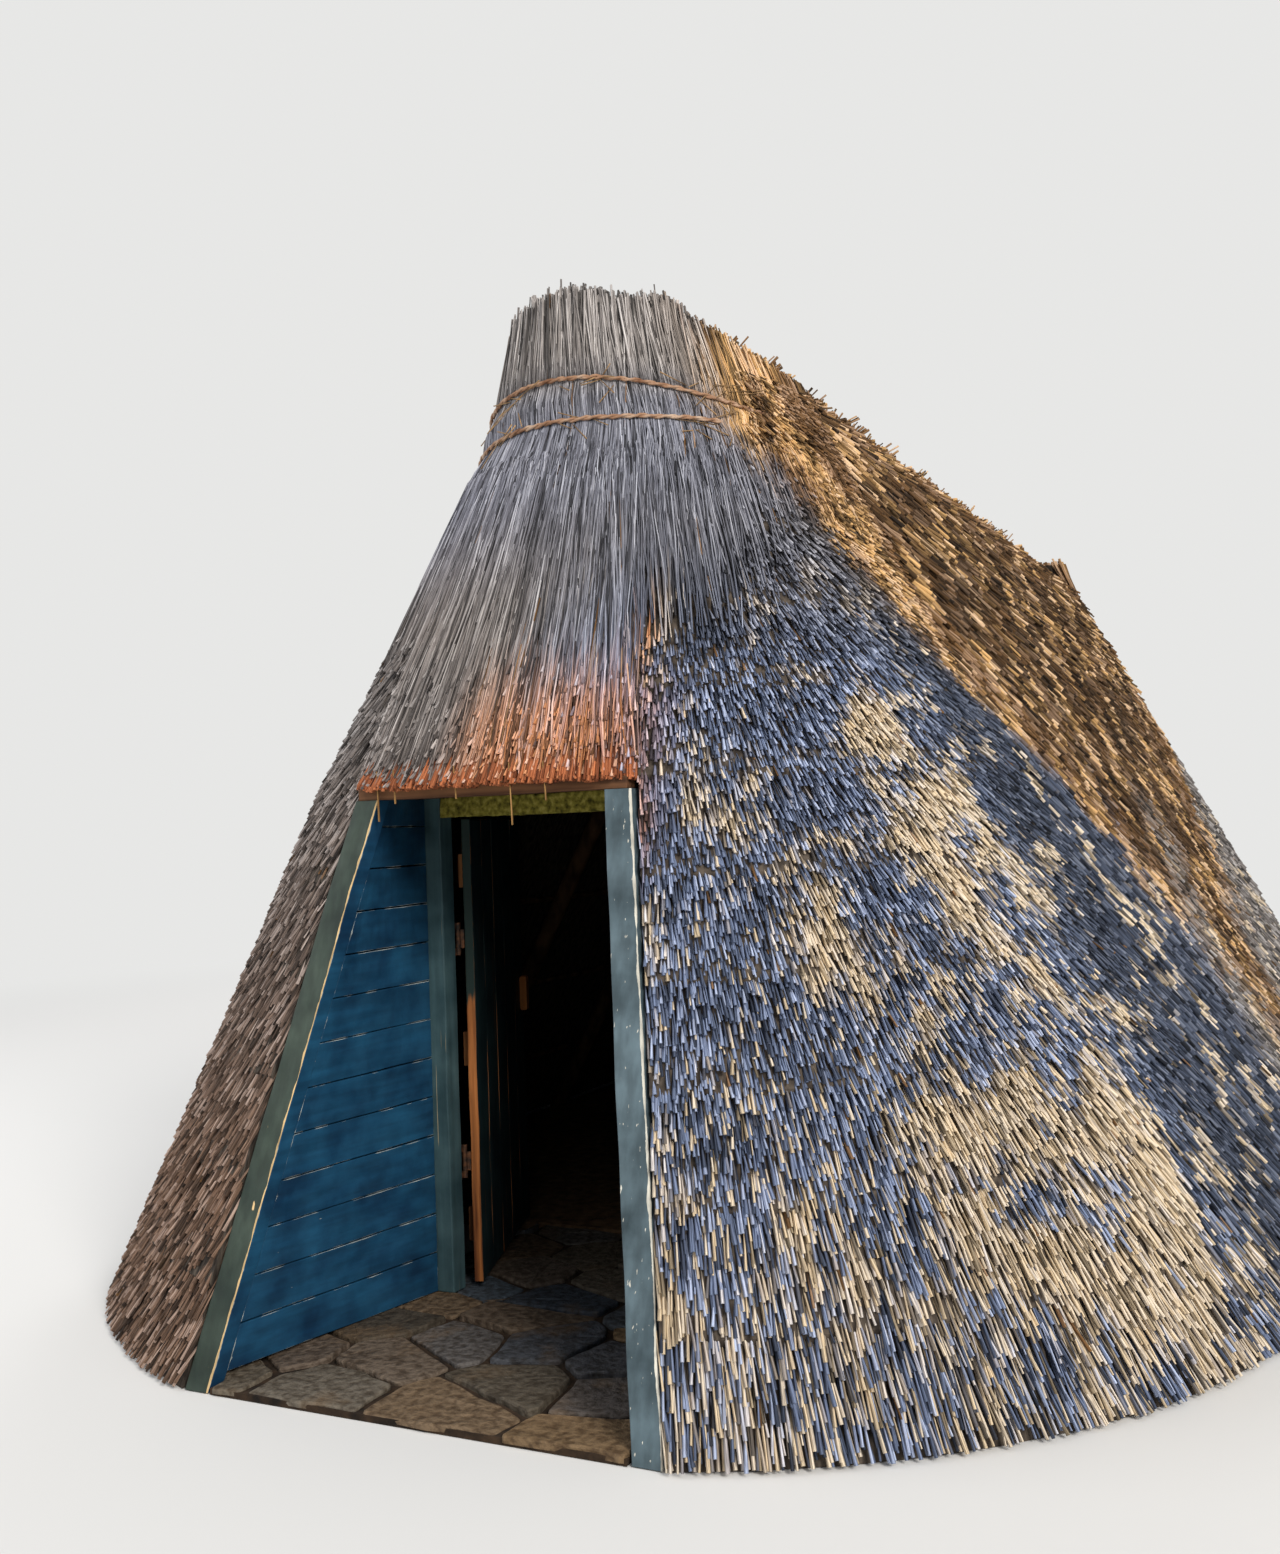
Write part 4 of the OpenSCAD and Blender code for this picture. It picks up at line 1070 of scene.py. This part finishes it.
def hanging_straws(name):
    """The few loose straws that hang in front of the entrance."""
    places = ((0.12, 0.125), (-0.38, 0.10), (-0.30, 0.05), (0.22, 0.06), (-0.06, 0.045))
    tips, roots = [], []
    for x, drop in places:
        y = FRONT_C - reach_at(LINTEL_TOP) * math.sqrt(1 - (x / half_at(LINTEL_TOP)) ** 2)
        roots.append((x, y - 0.01, LINTEL_TOP + 0.05))
        tips.append((x + 0.012, y - 0.02, LINTEL_TOP - drop))
    tips, roots = np.array(tips), np.array(roots)
    widths = np.full(len(tips), 0.006)
    colours = np.tile(linear(196, 150, 92), (len(tips), 1, 1))
    lay_field(name, np.stack((tips, roots), axis=1), widths, widths, colours, "new_thatch")


door_fringe("door_fringe", 71, 3000)
hanging_straws("hanging_straws")

# %% [markdown]
# The imported solids of thatch stay under the stalks. They take the dull, dark straw as painted
# shade in the gaps, and the golden one at the ridge.

# %% Materials of the thatch solids
def dress_node(node, material):
    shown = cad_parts[node]
    shown.data.materials.clear()
    shown.data.materials.append(material)


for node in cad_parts:
    if node.startswith("thatch"):
        dress_node(node, shaded_thatch_base)
dress_node("ridge_roll", shaded_crest_base)
dress_node("thatch_over_door", shaded_crest_base)

# %% [markdown]
# The woodwork of the entrance is old painted timber. Paint wears off first along the edges, so
# every board carries a wear value: 1 on its edges and 0 on its faces. A board is a bevelled
# bmesh cube. It is cut near its edges, so that the faces keep a painted middle, and across into
# short stretches, which a little noise then moves out of line.

# %% Timber, and its wear
def cut_by_plane(bm, place, normal, **clear):
    """Cut a bmesh by a plane, and give the edges of the cut."""
    made = bmesh.ops.bisect_plane(bm, geom=bm.verts[:] + bm.edges[:] + bm.faces[:],
                                  plane_co=place, plane_no=normal, **clear)
    return [e for e in made["geom_cut"] if isinstance(e, bmesh.types.BMEdge)]


def cut_across(bm, axis, place):
    normal = Vector((0, 0, 0))
    normal[axis] = 1
    cut_by_plane(bm, place * normal, normal)


def round_edges(bm, edges, offset, segments=2):
    bmesh.ops.bevel(bm, geom=edges, offset=offset, segments=segments, affect="EDGES",
                    profile=0.5, material=-1)


def timber_mesh(size, cuts, seed, rough=0.0012, bevel=0.004, rim=0.008, arris=None):
    """A worn timber from 0 to its size, long side cut into short stretches.

    All its long edges wear, or only its front one at x = arris.
    """
    bm = bmesh.new()
    bmesh.ops.create_cube(bm, size=1)
    bmesh.ops.translate(bm, verts=bm.verts, vec=(0.5, 0.5, 0.5))
    bmesh.ops.scale(bm, verts=bm.verts, vec=size)
    longest = size.index(max(size))
    broad = min(rim, 0.3 * min(size))
    round_edges(bm, list(bm.edges), min(bevel, 0.2 * min(size)))
    for axis in range(3):
        if axis != longest and size[axis] > 3 * broad:
            cut_across(bm, axis, broad)
            cut_across(bm, axis, size[axis] - broad)
    for step in range(1, cuts + 1):
        cut_across(bm, longest, size[longest] * step / (cuts + 1))
    wear = bm.verts.layers.float.new("wear")
    for v in bm.verts:
        near = sorted(min(v.co[axis], size[axis] - v.co[axis]) for axis in range(3))
        worn = 1.0 - near[1] / (0.9 * broad)
        if arris is not None:
            worn = 1.0 - math.hypot(v.co.x - arris, v.co.y) / (0.8 * broad)
        v[wear] = max(0.0, worn)
        shake = noise.noise_vector(v.co * 5 + Vector((seed * 3.7, seed, 0)))
        v.co += shake * rough * 3
    return bm


def set_piece(name, bm, material, slot, *replaced, body="hut"):
    """Turn a bmesh into a piece of the hut with its material."""
    bmesh.ops.recalc_face_normals(bm, faces=bm.faces)
    mesh = bpy.data.meshes.new(name)
    bm.to_mesh(mesh)
    bm.free()
    print(name, len(mesh.polygons), "faces")
    return add_piece(name, mesh, material, slot, *replaced, body=body)


def move(bm, matrix):
    bmesh.ops.transform(bm, matrix=matrix, verts=bm.verts)
    return bm


def put(bm, x, y, z):
    return move(bm, Matrix.Translation((x, y, z)))


def for_side(bm, side):
    """Mirror a shape that was made for the right side when it is for the left."""
    if side < 0:
        bmesh.ops.scale(bm, vec=(-1, 1, 1), verts=bm.verts)
    return bm


def join_into(target, source):
    """Add one bmesh to another."""
    mesh = bpy.data.meshes.new("join")
    source.to_mesh(mesh)
    source.free()
    target.from_mesh(mesh)
    bpy.data.meshes.remove(mesh)


# %% [markdown]
# The paint is blotchy. It turns the wear value, broken up by noise, into bare wood, and thin
# drawn-out noise scratches it. Grain runs along the timber's axis. Bare wood has stains, and
# the edge of the door has lost its paint below a height.

# %% Materials of the woodwork
ALONG_Z, ALONG_Y, ALONG_X = (1, 1, 0.05), (1, 0.05, 1), (0.05, 1, 1)


def paint_material(name, deep, pale, bare, stretch, wear_start, scratch):
    """Old paint: blotchy, worn to bare wood where the wear value and noise meet."""
    paint = Finish(name, 0.55)
    grain = paint.noise(38.0, 6.0, stretch)
    flake = paint.noise(26.0, 6.0, tuple(0.35 + 0.65 * v for v in stretch))
    line = paint.noise(14.0, 2.0, tuple(0.107 if v < 1 else 9.0 for v in stretch))
    tone = paint.ramp(paint.noise(7.0, 5.0), (0.3, deep), (0.72, pale))
    grained = paint.ramp(grain, (0.35, (0.62, 0.62, 0.62)), (0.65, WHITE))
    coat = paint.mix(0.8, tone, grained, "MULTIPLY")
    wood = paint.ramp(grain, (0.3, 0.45 * bare), (0.7, bare))
    worn = paint.weighted_sum(paint.attribute("wear", "Fac"), 0.60, flake)
    edge = paint.ramp(worn, (wear_start + 0.14, BLACK), (wear_start + 0.17, WHITE))
    scratches = paint.ramp(line, (scratch + 0.08, BLACK), (scratch + 0.10, WHITE))
    colour = paint.mix(edge, paint.mix(scratches, coat, wood), wood)
    paint.links.new(paint.span(flake, 0, 1, 0.42, 0.75), paint.shader.inputs["Roughness"])
    return paint.done(colour, grain, 0.35, 0.002)


def bare_wood(name, dark, light, stretch, bump=0.5):
    """Unpainted timber or a pole: dark grain on lighter wood, with stains."""
    wood = Finish(name, 0.8)
    grain = wood.noise(30.0, 6.0, stretch)
    stain = wood.ramp(wood.noise(4.0, 4.0), (0.35, (0.6, 0.58, 0.56)), (0.6, WHITE))
    colour = wood.mix(1.0, wood.ramp(grain, (0.32, dark), (0.68, light)), stain, "MULTIPLY")
    return wood.done(colour, grain, bump, 0.003)


def half_painted(name, dark, light, paint, above):
    """Bare wood whose paint is left above a height, with chips in it."""
    edge = Finish(name, 0.7)
    grain = edge.noise(38.0, 6.0, ALONG_Z)
    where, parts = edge.nodes.new("ShaderNodeTexCoord"), edge.nodes.new("ShaderNodeSeparateXYZ")
    edge.links.new(where.outputs["Object"], parts.inputs[0])
    chipped = edge.weighted_sum(edge.noise(18.0, 5.0, ALONG_Z), 0.9, parts.outputs["Z"])
    share = edge.span(chipped, above + 0.42, above + 0.46)
    wood = edge.ramp(grain, (0.35, dark), (0.65, light))
    return edge.done(edge.mix(share, wood, paint), grain, 0.4, 0.002)


post_paint = paint_material("post_paint", linear(52, 66, 72), linear(98, 116, 124),
                            linear(226, 222, 208), ALONG_Z, 0.62, 0.625)
left_post_paint = paint_material("left_post_paint", linear(36, 48, 42), linear(64, 76, 66),
                                 linear(224, 190, 136), ALONG_Z, 0.585, 0.72)
jamb_paint = paint_material("jamb_paint", linear(42, 66, 72), linear(78, 104, 108),
                            linear(176, 160, 128), ALONG_Z, 0.94, 0.64)
# The boards' pale worn edges also stand in for painted highlights, where sun grazes their arrises
# along the joints.
board_paint = paint_material("board_paint", linear(12, 48, 76), linear(32, 84, 116),
                             linear(170, 178, 176), ALONG_Y, 0.85, 0.72)
door_paint = paint_material("door_paint", linear(14, 30, 36), linear(36, 58, 60),
                            linear(168, 112, 66), ALONG_Z, 0.80, 0.62)
lintel_wood = bare_wood("lintel_wood", linear(62, 38, 24), linear(140, 98, 66), ALONG_X)
ceiling_wood = bare_wood("ceiling_wood", linear(30, 26, 24), linear(76, 64, 54), ALONG_Y)
pole_wood = bare_wood("pole_wood", linear(50, 34, 24), linear(128, 92, 62), (0.5, 0.5, 0.15))
door_frame_wood = bare_wood("door_frame_wood", linear(84, 50, 28), linear(168, 112, 66), ALONG_Z)
door_edge_wood = half_painted("door_edge_wood", linear(96, 52, 24), linear(204, 128, 68),
                              linear(30, 46, 42), 0.93)
handle_wood = bare_wood("handle_wood", linear(150, 84, 36), linear(216, 142, 76), ALONG_Z, 0.2)

# %% [markdown]
# Each door post leans back with the thatch and in towards the top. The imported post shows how:
# an upright timber is turned about two axes and cut level at the ground and under the lintel.
# The same turns, in metres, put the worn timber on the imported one.

# %% Door posts
POST_T, POST_LEAN = 0.057, math.atan(POST_RUN / POST_Z)
POST_SPLAY = math.atan((DOOR_FOOT_HALF - DOOR_TOP_HALF) / math.hypot(POST_RUN, POST_Z))


def cut_level(bm, z, **clear):
    """Cut a bmesh at a height and close the cut."""
    bmesh.ops.holes_fill(bm, edges=cut_by_plane(bm, (0, 0, z), (0, 0, 1), **clear))


def door_post(side, arris):
    bm = timber_mesh((POST_W, POST_T, 1.9), 40, 3 + side, rough=0.0010, bevel=0.004, rim=0.010,
                     arris=arris)
    move(bm, Matrix.Translation((DOOR_FOOT_HALF, DOOR_Y, 0))
         @ Matrix.Rotation(-POST_LEAN, 4, "X") @ Matrix.Rotation(-POST_SPLAY, 4, "Y")
         @ Matrix.Translation((0, 0, -0.1)))
    cut_level(bm, 0.002, clear_inner=True)
    cut_level(bm, POST_Z, clear_outer=True)
    return for_side(bm, side)


def paint_reveal(post, toward):
    """Give the faces of a post that look into the recess the boards' dark blue paint, which there
    also paints the shade of the recess.
    """
    post.data.materials.append(board_paint)
    for face in post.data.polygons:
        if face.normal.x * toward > 0.6:
            face.material_index = 1


right_post = set_piece("door_post_right_worn", door_post(1, POST_W), post_paint, "grey_paint",
                       "door_post_right")
left_post = set_piece("door_post_left_worn", door_post(-1, 0.0), left_post_paint, "grey_paint",
                      "door_post_left")
paint_reveal(right_post, -1)
paint_reveal(left_post, 1)

# %% [markdown]
# The cheeks of the recess are lined with level boards that cover 125 mm each. A cheek twists
# from the leaning post to the upright jamb, so each board is a flat timber whose points are then
# moved onto that twisted wall. Small gaps and slightly different depths show each board.

# %% Boards of the cheeks
FLOOR_T, CEILING_Z, RECESS_HALF = 0.035, 1.625, 0.487
JAMB_Y, JAMB_T, JAMB_W, OPENING_HALF = 0.896, 0.070, 0.095, 0.430
BOARD_COVER, BOARD_L, BOARD_T = 0.125, 0.80, 0.019
POST_DEPTH = POST_T / math.cos(POST_LEAN)


def cheek_point(along, z, depth):
    """A point of the right cheek: along from the post (0) to the jamb (1)."""
    front = Vector((DOOR_FOOT_HALF - (DOOR_FOOT_HALF - DOOR_TOP_HALF) * z / POST_Z,
                    z * math.tan(POST_LEAN) + POST_DEPTH, z))
    back = Vector((RECESS_HALF, JAMB_Y, z))
    return front.lerp(back, along) + Vector((depth, DOOR_Y, 0))


def cheek_boards(side, seed):
    rng = random.Random(seed)
    cheek = bmesh.new()
    low = FLOOR_T
    while low < CEILING_Z - 0.02:
        high = min(low + BOARD_COVER, CEILING_Z)
        gap = 0.0012 + 0.0010 * rng.random()
        board = timber_mesh((BOARD_L, BOARD_T, high - low - 2 * gap), 10, seed + low,
                            rough=0.0005, bevel=0.0025, rim=0.008)
        sink = 0.003 * rng.random()
        tilt = 0.0015 * (rng.random() - 0.5)
        for v in board.verts:
            along = v.co.x / BOARD_L
            v.co = cheek_point(0.002 + 0.996 * along, low + gap + v.co.z + tilt * along,
                               sink * 0.4 + v.co.y)
        join_into(cheek, board)
        low = high
    return for_side(cheek, side)


set_piece("cheek_lining_left", cheek_boards(-1, 5), board_paint, "blue_paint",
          "cheek_boards_left")
set_piece("cheek_lining_right", cheek_boards(1, 9), board_paint, "blue_paint",
          "cheek_boards_right")

# %% [markdown]
# The jambs, the head of the door frame, the beam under the thatch and the ceiling boards are
# straight timbers. The head is old and damp, and moss covers it, so its surface is raised in
# soft lumps before its own green material goes on.

# %% Jambs, head, beam and ceiling
HEAD_Z, HEAD_H, LINTEL_H, CEILING_T = 1.560, 0.065, 0.036, 0.025
BEAM_HALF = DOOR_TOP_HALF + 0.85 * POST_W

for side, label in ((-1, "left"), (1, "right")):
    jamb = timber_mesh((JAMB_W, JAMB_T, CEILING_Z - FLOOR_T), 36, 20 + side, rough=0.0008)
    put(jamb, OPENING_HALF, DOOR_Y + JAMB_Y, FLOOR_T)
    set_piece(f"jamb_{label}_worn", for_side(jamb, side), jamb_paint, "grey_paint",
              f"jamb_{label}")


def moss_material():
    moss = Finish("moss_on_wood", 0.95)
    lump = moss.noise(60.0, 6.0)
    tone = moss.ramp(lump, (0.30, linear(58, 54, 14)), (0.52, linear(132, 122, 48)),
                     (0.75, linear(176, 164, 84)))
    share = moss.ramp(moss.noise(9.0, 4.0), (0.34, BLACK), (0.42, WHITE))
    return moss.done(moss.mix(share, linear(104, 76, 36), tone), lump, 0.9, 0.006)


head = timber_mesh((2 * OPENING_HALF, JAMB_T, HEAD_H), 90, 31, rough=0.001, bevel=0.006)
bmesh.ops.subdivide_edges(head, edges=[e for e in head.edges if e.calc_length() > 0.015], cuts=1)
put(head, -OPENING_HALF, DOOR_Y + JAMB_Y, HEAD_Z)
for v in head.verts:
    lift = max(0.0, noise.noise(v.co * 45) + 0.15) * 0.007
    if v.co.y < DOOR_Y + JAMB_Y + 0.03:
        v.co.y -= lift
        v.co.z -= 0.5 * lift * (v.co.z < HEAD_Z + 0.02)
set_piece("door_head_mossy", head, moss_material(), "mossy_wood", "door_head")

beam = timber_mesh((2 * BEAM_HALF, POST_DEPTH, LINTEL_H), 30, 33, rough=0.001)
put(beam, -BEAM_HALF, DOOR_Y + POST_RUN, POST_Z)
set_piece("lintel_beam_worn", beam, lintel_wood, "pole_wood", "lintel_beam")

ceiling, planks_across = bmesh.new(), 6
ceiling_front = POST_RUN + POST_DEPTH
ceiling_run = JAMB_Y + JAMB_T - ceiling_front
width = 2 * BEAM_HALF / planks_across
for i in range(planks_across):
    board = timber_mesh((width - 0.003, ceiling_run, CEILING_T), 6, 40 + i, rough=0.0008)
    join_into(ceiling, put(board, -BEAM_HALF + i * width + 0.0015, DOOR_Y + ceiling_front,
                           CEILING_Z))
set_piece("ceiling_boards", ceiling, ceiling_wood, "pole_wood", "recess_ceiling")

# %% [markdown]
# The floor of the recess is laid with flat field stones. Real ones are split slabs with
# crooked outlines, fitted like a puzzle. Each stone starts as the whole floor slab and is cut
# by planes halfway to its neighbours, which gives those outlines; it is then shrunk a little
# for the joint, rounded, and tilted. A bed of earth fills the joints.

# %% Stone paving
PAVING_SIDE, PAVING_IN, JOINT_HALF = 0.054, 0.780, 0.010
FLOOR_BACK = JAMB_Y + JAMB_T + PAVING_IN


def floor_outline():
    """Corners of the paving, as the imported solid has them."""
    mouth_half = (DOOR_FOOT_HALF - (DOOR_FOOT_HALF - DOOR_TOP_HALF) * FLOOR_T / POST_Z) - 0.004
    mouth = FLOOR_T * math.tan(POST_LEAN) + POST_DEPTH + 0.004
    half = DOOR_FOOT_HALF + PAVING_SIDE
    right = [(mouth_half, 0), (mouth_half, mouth), (half, mouth), (half, JAMB_Y + JAMB_T),
             (0.85 * half, FLOOR_BACK)]
    return right + [(-x, y) for x, y in reversed(right)]


def floor_slab(low, high):
    bm = bmesh.new()
    rim = [bm.verts.new((x, DOOR_Y + y, low)) for x, y in floor_outline()]
    raised = bmesh.ops.extrude_face_region(bm, geom=[bm.faces.new(rim)])
    tops = [v for v in raised["geom"] if isinstance(v, bmesh.types.BMVert)]
    bmesh.ops.translate(bm, verts=tops, vec=(0, 0, high - low))
    return bm


def stone_seeds(rng):
    """Uneven spots for the stones: bigger towards the mouth, in crooked rows."""
    seeds = []
    y = 0.11
    while y < FLOOR_BACK:
        pitch = rng.uniform(0.27, 0.42)
        x = -0.75 + rng.uniform(0, 0.25)
        while x < 0.75:
            seeds.append((x + rng.uniform(-0.04, 0.04), DOOR_Y + y + rng.uniform(-0.05, 0.05)))
            x += pitch * rng.uniform(0.75, 1.35)
        y += rng.uniform(0.20, 0.28)
    return seeds


def one_stone(seed, others, rng):
    bm = floor_slab(0.006, FLOOR_T - 0.002)
    for other in others:
        toward = Vector((other[0] - seed[0], other[1] - seed[1], 0))
        if other == seed or toward.length > 0.8:
            continue
        middle = Vector((*seed, 0)) + toward * 0.5 - toward.normalized() * JOINT_HALF
        rim = cut_by_plane(bm, middle, toward, clear_outer=True)
        if rim:
            bmesh.ops.holes_fill(bm, edges=rim)
    if len(bm.faces) < 5:
        bm.free()
        return None
    bmesh.ops.remove_doubles(bm, verts=bm.verts, dist=0.0005)
    round_edges(bm, [e for e in bm.edges
                     if abs(e.verts[0].co.z - e.verts[1].co.z) > 0.01], 0.012)
    round_edges(bm, [e for e in bm.edges
                     if min(v.co.z for v in e.verts) > FLOOR_T - 0.004], 0.006)
    bmesh.ops.triangulate(bm, faces=[f for f in bm.faces if len(f.verts) > 4])
    for shortest in (0.10, 0.05):
        bmesh.ops.subdivide_edges(bm, edges=[e for e in bm.edges if e.calc_length() > shortest],
                                  cuts=1)
    tint = bm.verts.layers.float.new("stone_tint")
    tone, drop = rng.random(), rng.uniform(0, 0.008)
    slope = Vector((rng.uniform(-0.03, 0.03), rng.uniform(-0.03, 0.03)))
    for v in bm.verts:
        v[tint] = tone
        if v.co.z > 0.02:
            rough = noise.noise(v.co * 9) * 0.006 + noise.noise(v.co * 27) * 0.003
            flat = slope.x * (v.co.x - seed[0]) + slope.y * (v.co.y - seed[1])
            v.co.z = min(v.co.z + rough + flat - drop, FLOOR_T + 0.003)
        side = noise.noise_vector(v.co * 7) * 0.014 + noise.noise_vector(v.co * 22) * 0.005
        v.co.x += side.x
        v.co.y += side.y
    return bm


# %% [markdown]
# Each stone has a tint of its own, speckles, and soil trodden into it in patches. The earth of
# the joints is darker than that of the floor.

# %% Stones and earth
def stone_material():
    stone = Finish("field_stone", 0.72)
    speck = stone.noise(42.0, 10.0)
    tone = stone.ramp(stone.attribute("stone_tint", "Fac"),
                      (0.0, linear(62, 55, 46)), (0.30, linear(108, 98, 84)),
                      (0.55, linear(80, 90, 100)), (0.78, linear(118, 96, 70)),
                      (1.0, linear(66, 74, 84)))
    shade = stone.ramp(speck, (0.36, (0.42, 0.38, 0.34)), (0.60, WHITE))
    dusty = stone.ramp(stone.noise(5.0, 5.0), (0.56, BLACK), (0.74, (0.6, 0.6, 0.6)))
    colour = stone.mix(dusty, stone.mix(1.0, tone, shade, "MULTIPLY"), linear(112, 90, 66))
    return stone.done(colour, speck, 1.0, 0.012)


def earth_material(name, dark, light):
    return speckled(name, 0.95, (22.0, 8.0), ((0.3, dark), (0.7, light)), 0.7, 0.012)


beaten_earth = earth_material("beaten_earth", linear(70, 52, 36), linear(128, 100, 72))
joint_earth = earth_material("joint_earth", linear(20, 14, 9), linear(62, 46, 32))
stone_rng = random.Random(77)
seeds = stone_seeds(stone_rng)
paving = bmesh.new()
for seed in seeds:
    stone = one_stone(seed, seeds, stone_rng)
    if stone is not None:
        join_into(paving, stone)
set_piece("flagstones", paving, stone_material(), "stone", "stone_paving")
set_piece("paving_bed", floor_slab(0.0, FLOOR_T - 0.018), joint_earth, "earth")
dress_node("earth_floor", beaten_earth)

# %% [markdown]
# The door hangs on the left jamb and stands open, turned in by 110 degrees. Its boards are made
# shut, side by side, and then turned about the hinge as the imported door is, so that they ride on
# the door and close with it.

# %% Door boards and handle
LEAF_GAP, LEAF_T, LEAF_LIFT, DOOR_OPEN = 0.006, 0.030, 0.012, math.radians(110)
KNUCKLE_D, PLATE_T = 0.016, 0.005
HINGE_X = -OPENING_HALF + LEAF_GAP / 2
HINGE_Y = JAMB_Y + JAMB_T + KNUCKLE_D / 2 + PLATE_T
LEAF_HALF, LEAF_Y = OPENING_HALF - LEAF_GAP, JAMB_Y + JAMB_T - LEAF_T - LEAF_GAP
LEAF_FOOT, LEAF_TOP = FLOOR_T + LEAF_LIFT, HEAD_Z - LEAF_GAP
LEAF_H = LEAF_TOP - LEAF_FOOT
SWUNG = (Matrix.Translation((HINGE_X, DOOR_Y + HINGE_Y, 0)) @ Matrix.Rotation(DOOR_OPEN, 4, "Z")
         @ Matrix.Translation((-HINGE_X, -HINGE_Y, 0)))

leaf, boards = bmesh.new(), 5
cover = 2 * LEAF_HALF / boards
for i in range(boards):
    board = timber_mesh((cover - 0.003, LEAF_T, LEAF_H), 30, 60 + i, rough=0.0008, bevel=0.004)
    for face in board.faces:
        face.normal_update()
        face.material_index = int(abs(face.normal.x) > 0.7)
    place = Matrix.Translation((-LEAF_HALF + i * cover + 0.0015, LEAF_Y, LEAF_FOOT))
    join_into(leaf, move(board, SWUNG @ place))
planks = set_piece("door_planks", leaf, door_paint, "blue_paint", "door_boards", body="door")
planks.data.materials.append(door_edge_wood)

HANDLE_W, HANDLE_T, HANDLE_H = 0.044, 0.026, 0.130
grip = bmesh.new()
bmesh.ops.create_cube(grip, size=1)
bmesh.ops.scale(grip, vec=(HANDLE_W, HANDLE_T, HANDLE_H), verts=grip.verts)
round_edges(grip, [e for e in grip.edges if abs(e.verts[0].co.z - e.verts[1].co.z) < 0.001],
            0.009, 4)
move(grip, SWUNG @ Matrix.Translation(
    (LEAF_HALF - 0.6 * HANDLE_W - HANDLE_W / 2, LEAF_Y - HANDLE_T / 2,
     LEAF_FOOT + 0.52 * LEAF_H + HANDLE_H / 2)))
set_piece("door_grip", grip, handle_wood, "handle_wood", "door_handle", body="door")

# %% [markdown]
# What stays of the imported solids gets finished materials: rust on the hinges, smoke-darkened
# bark on the poles, and split wood on the door's ledges and brace.

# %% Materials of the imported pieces
rusted_iron = speckled("rusted_iron", 0.6, (60.0, 8.0),
                       ((0.35, linear(36, 32, 30)), (0.55, linear(84, 58, 42)),
                        (0.75, linear(130, 82, 50))), 0.5, 0.002)
rusted_iron.node_tree.nodes["Principled BSDF"].inputs["Metallic"].default_value = 0.4
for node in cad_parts:
    if node.startswith("hinge"):
        dress_node(node, rusted_iron)
    elif node in ("door_ledges", "door_brace"):
        dress_node(node, door_frame_wood)
    elif node.startswith(("rafters", "laths", "ridge_pole")):
        dress_node(node, pole_wood)
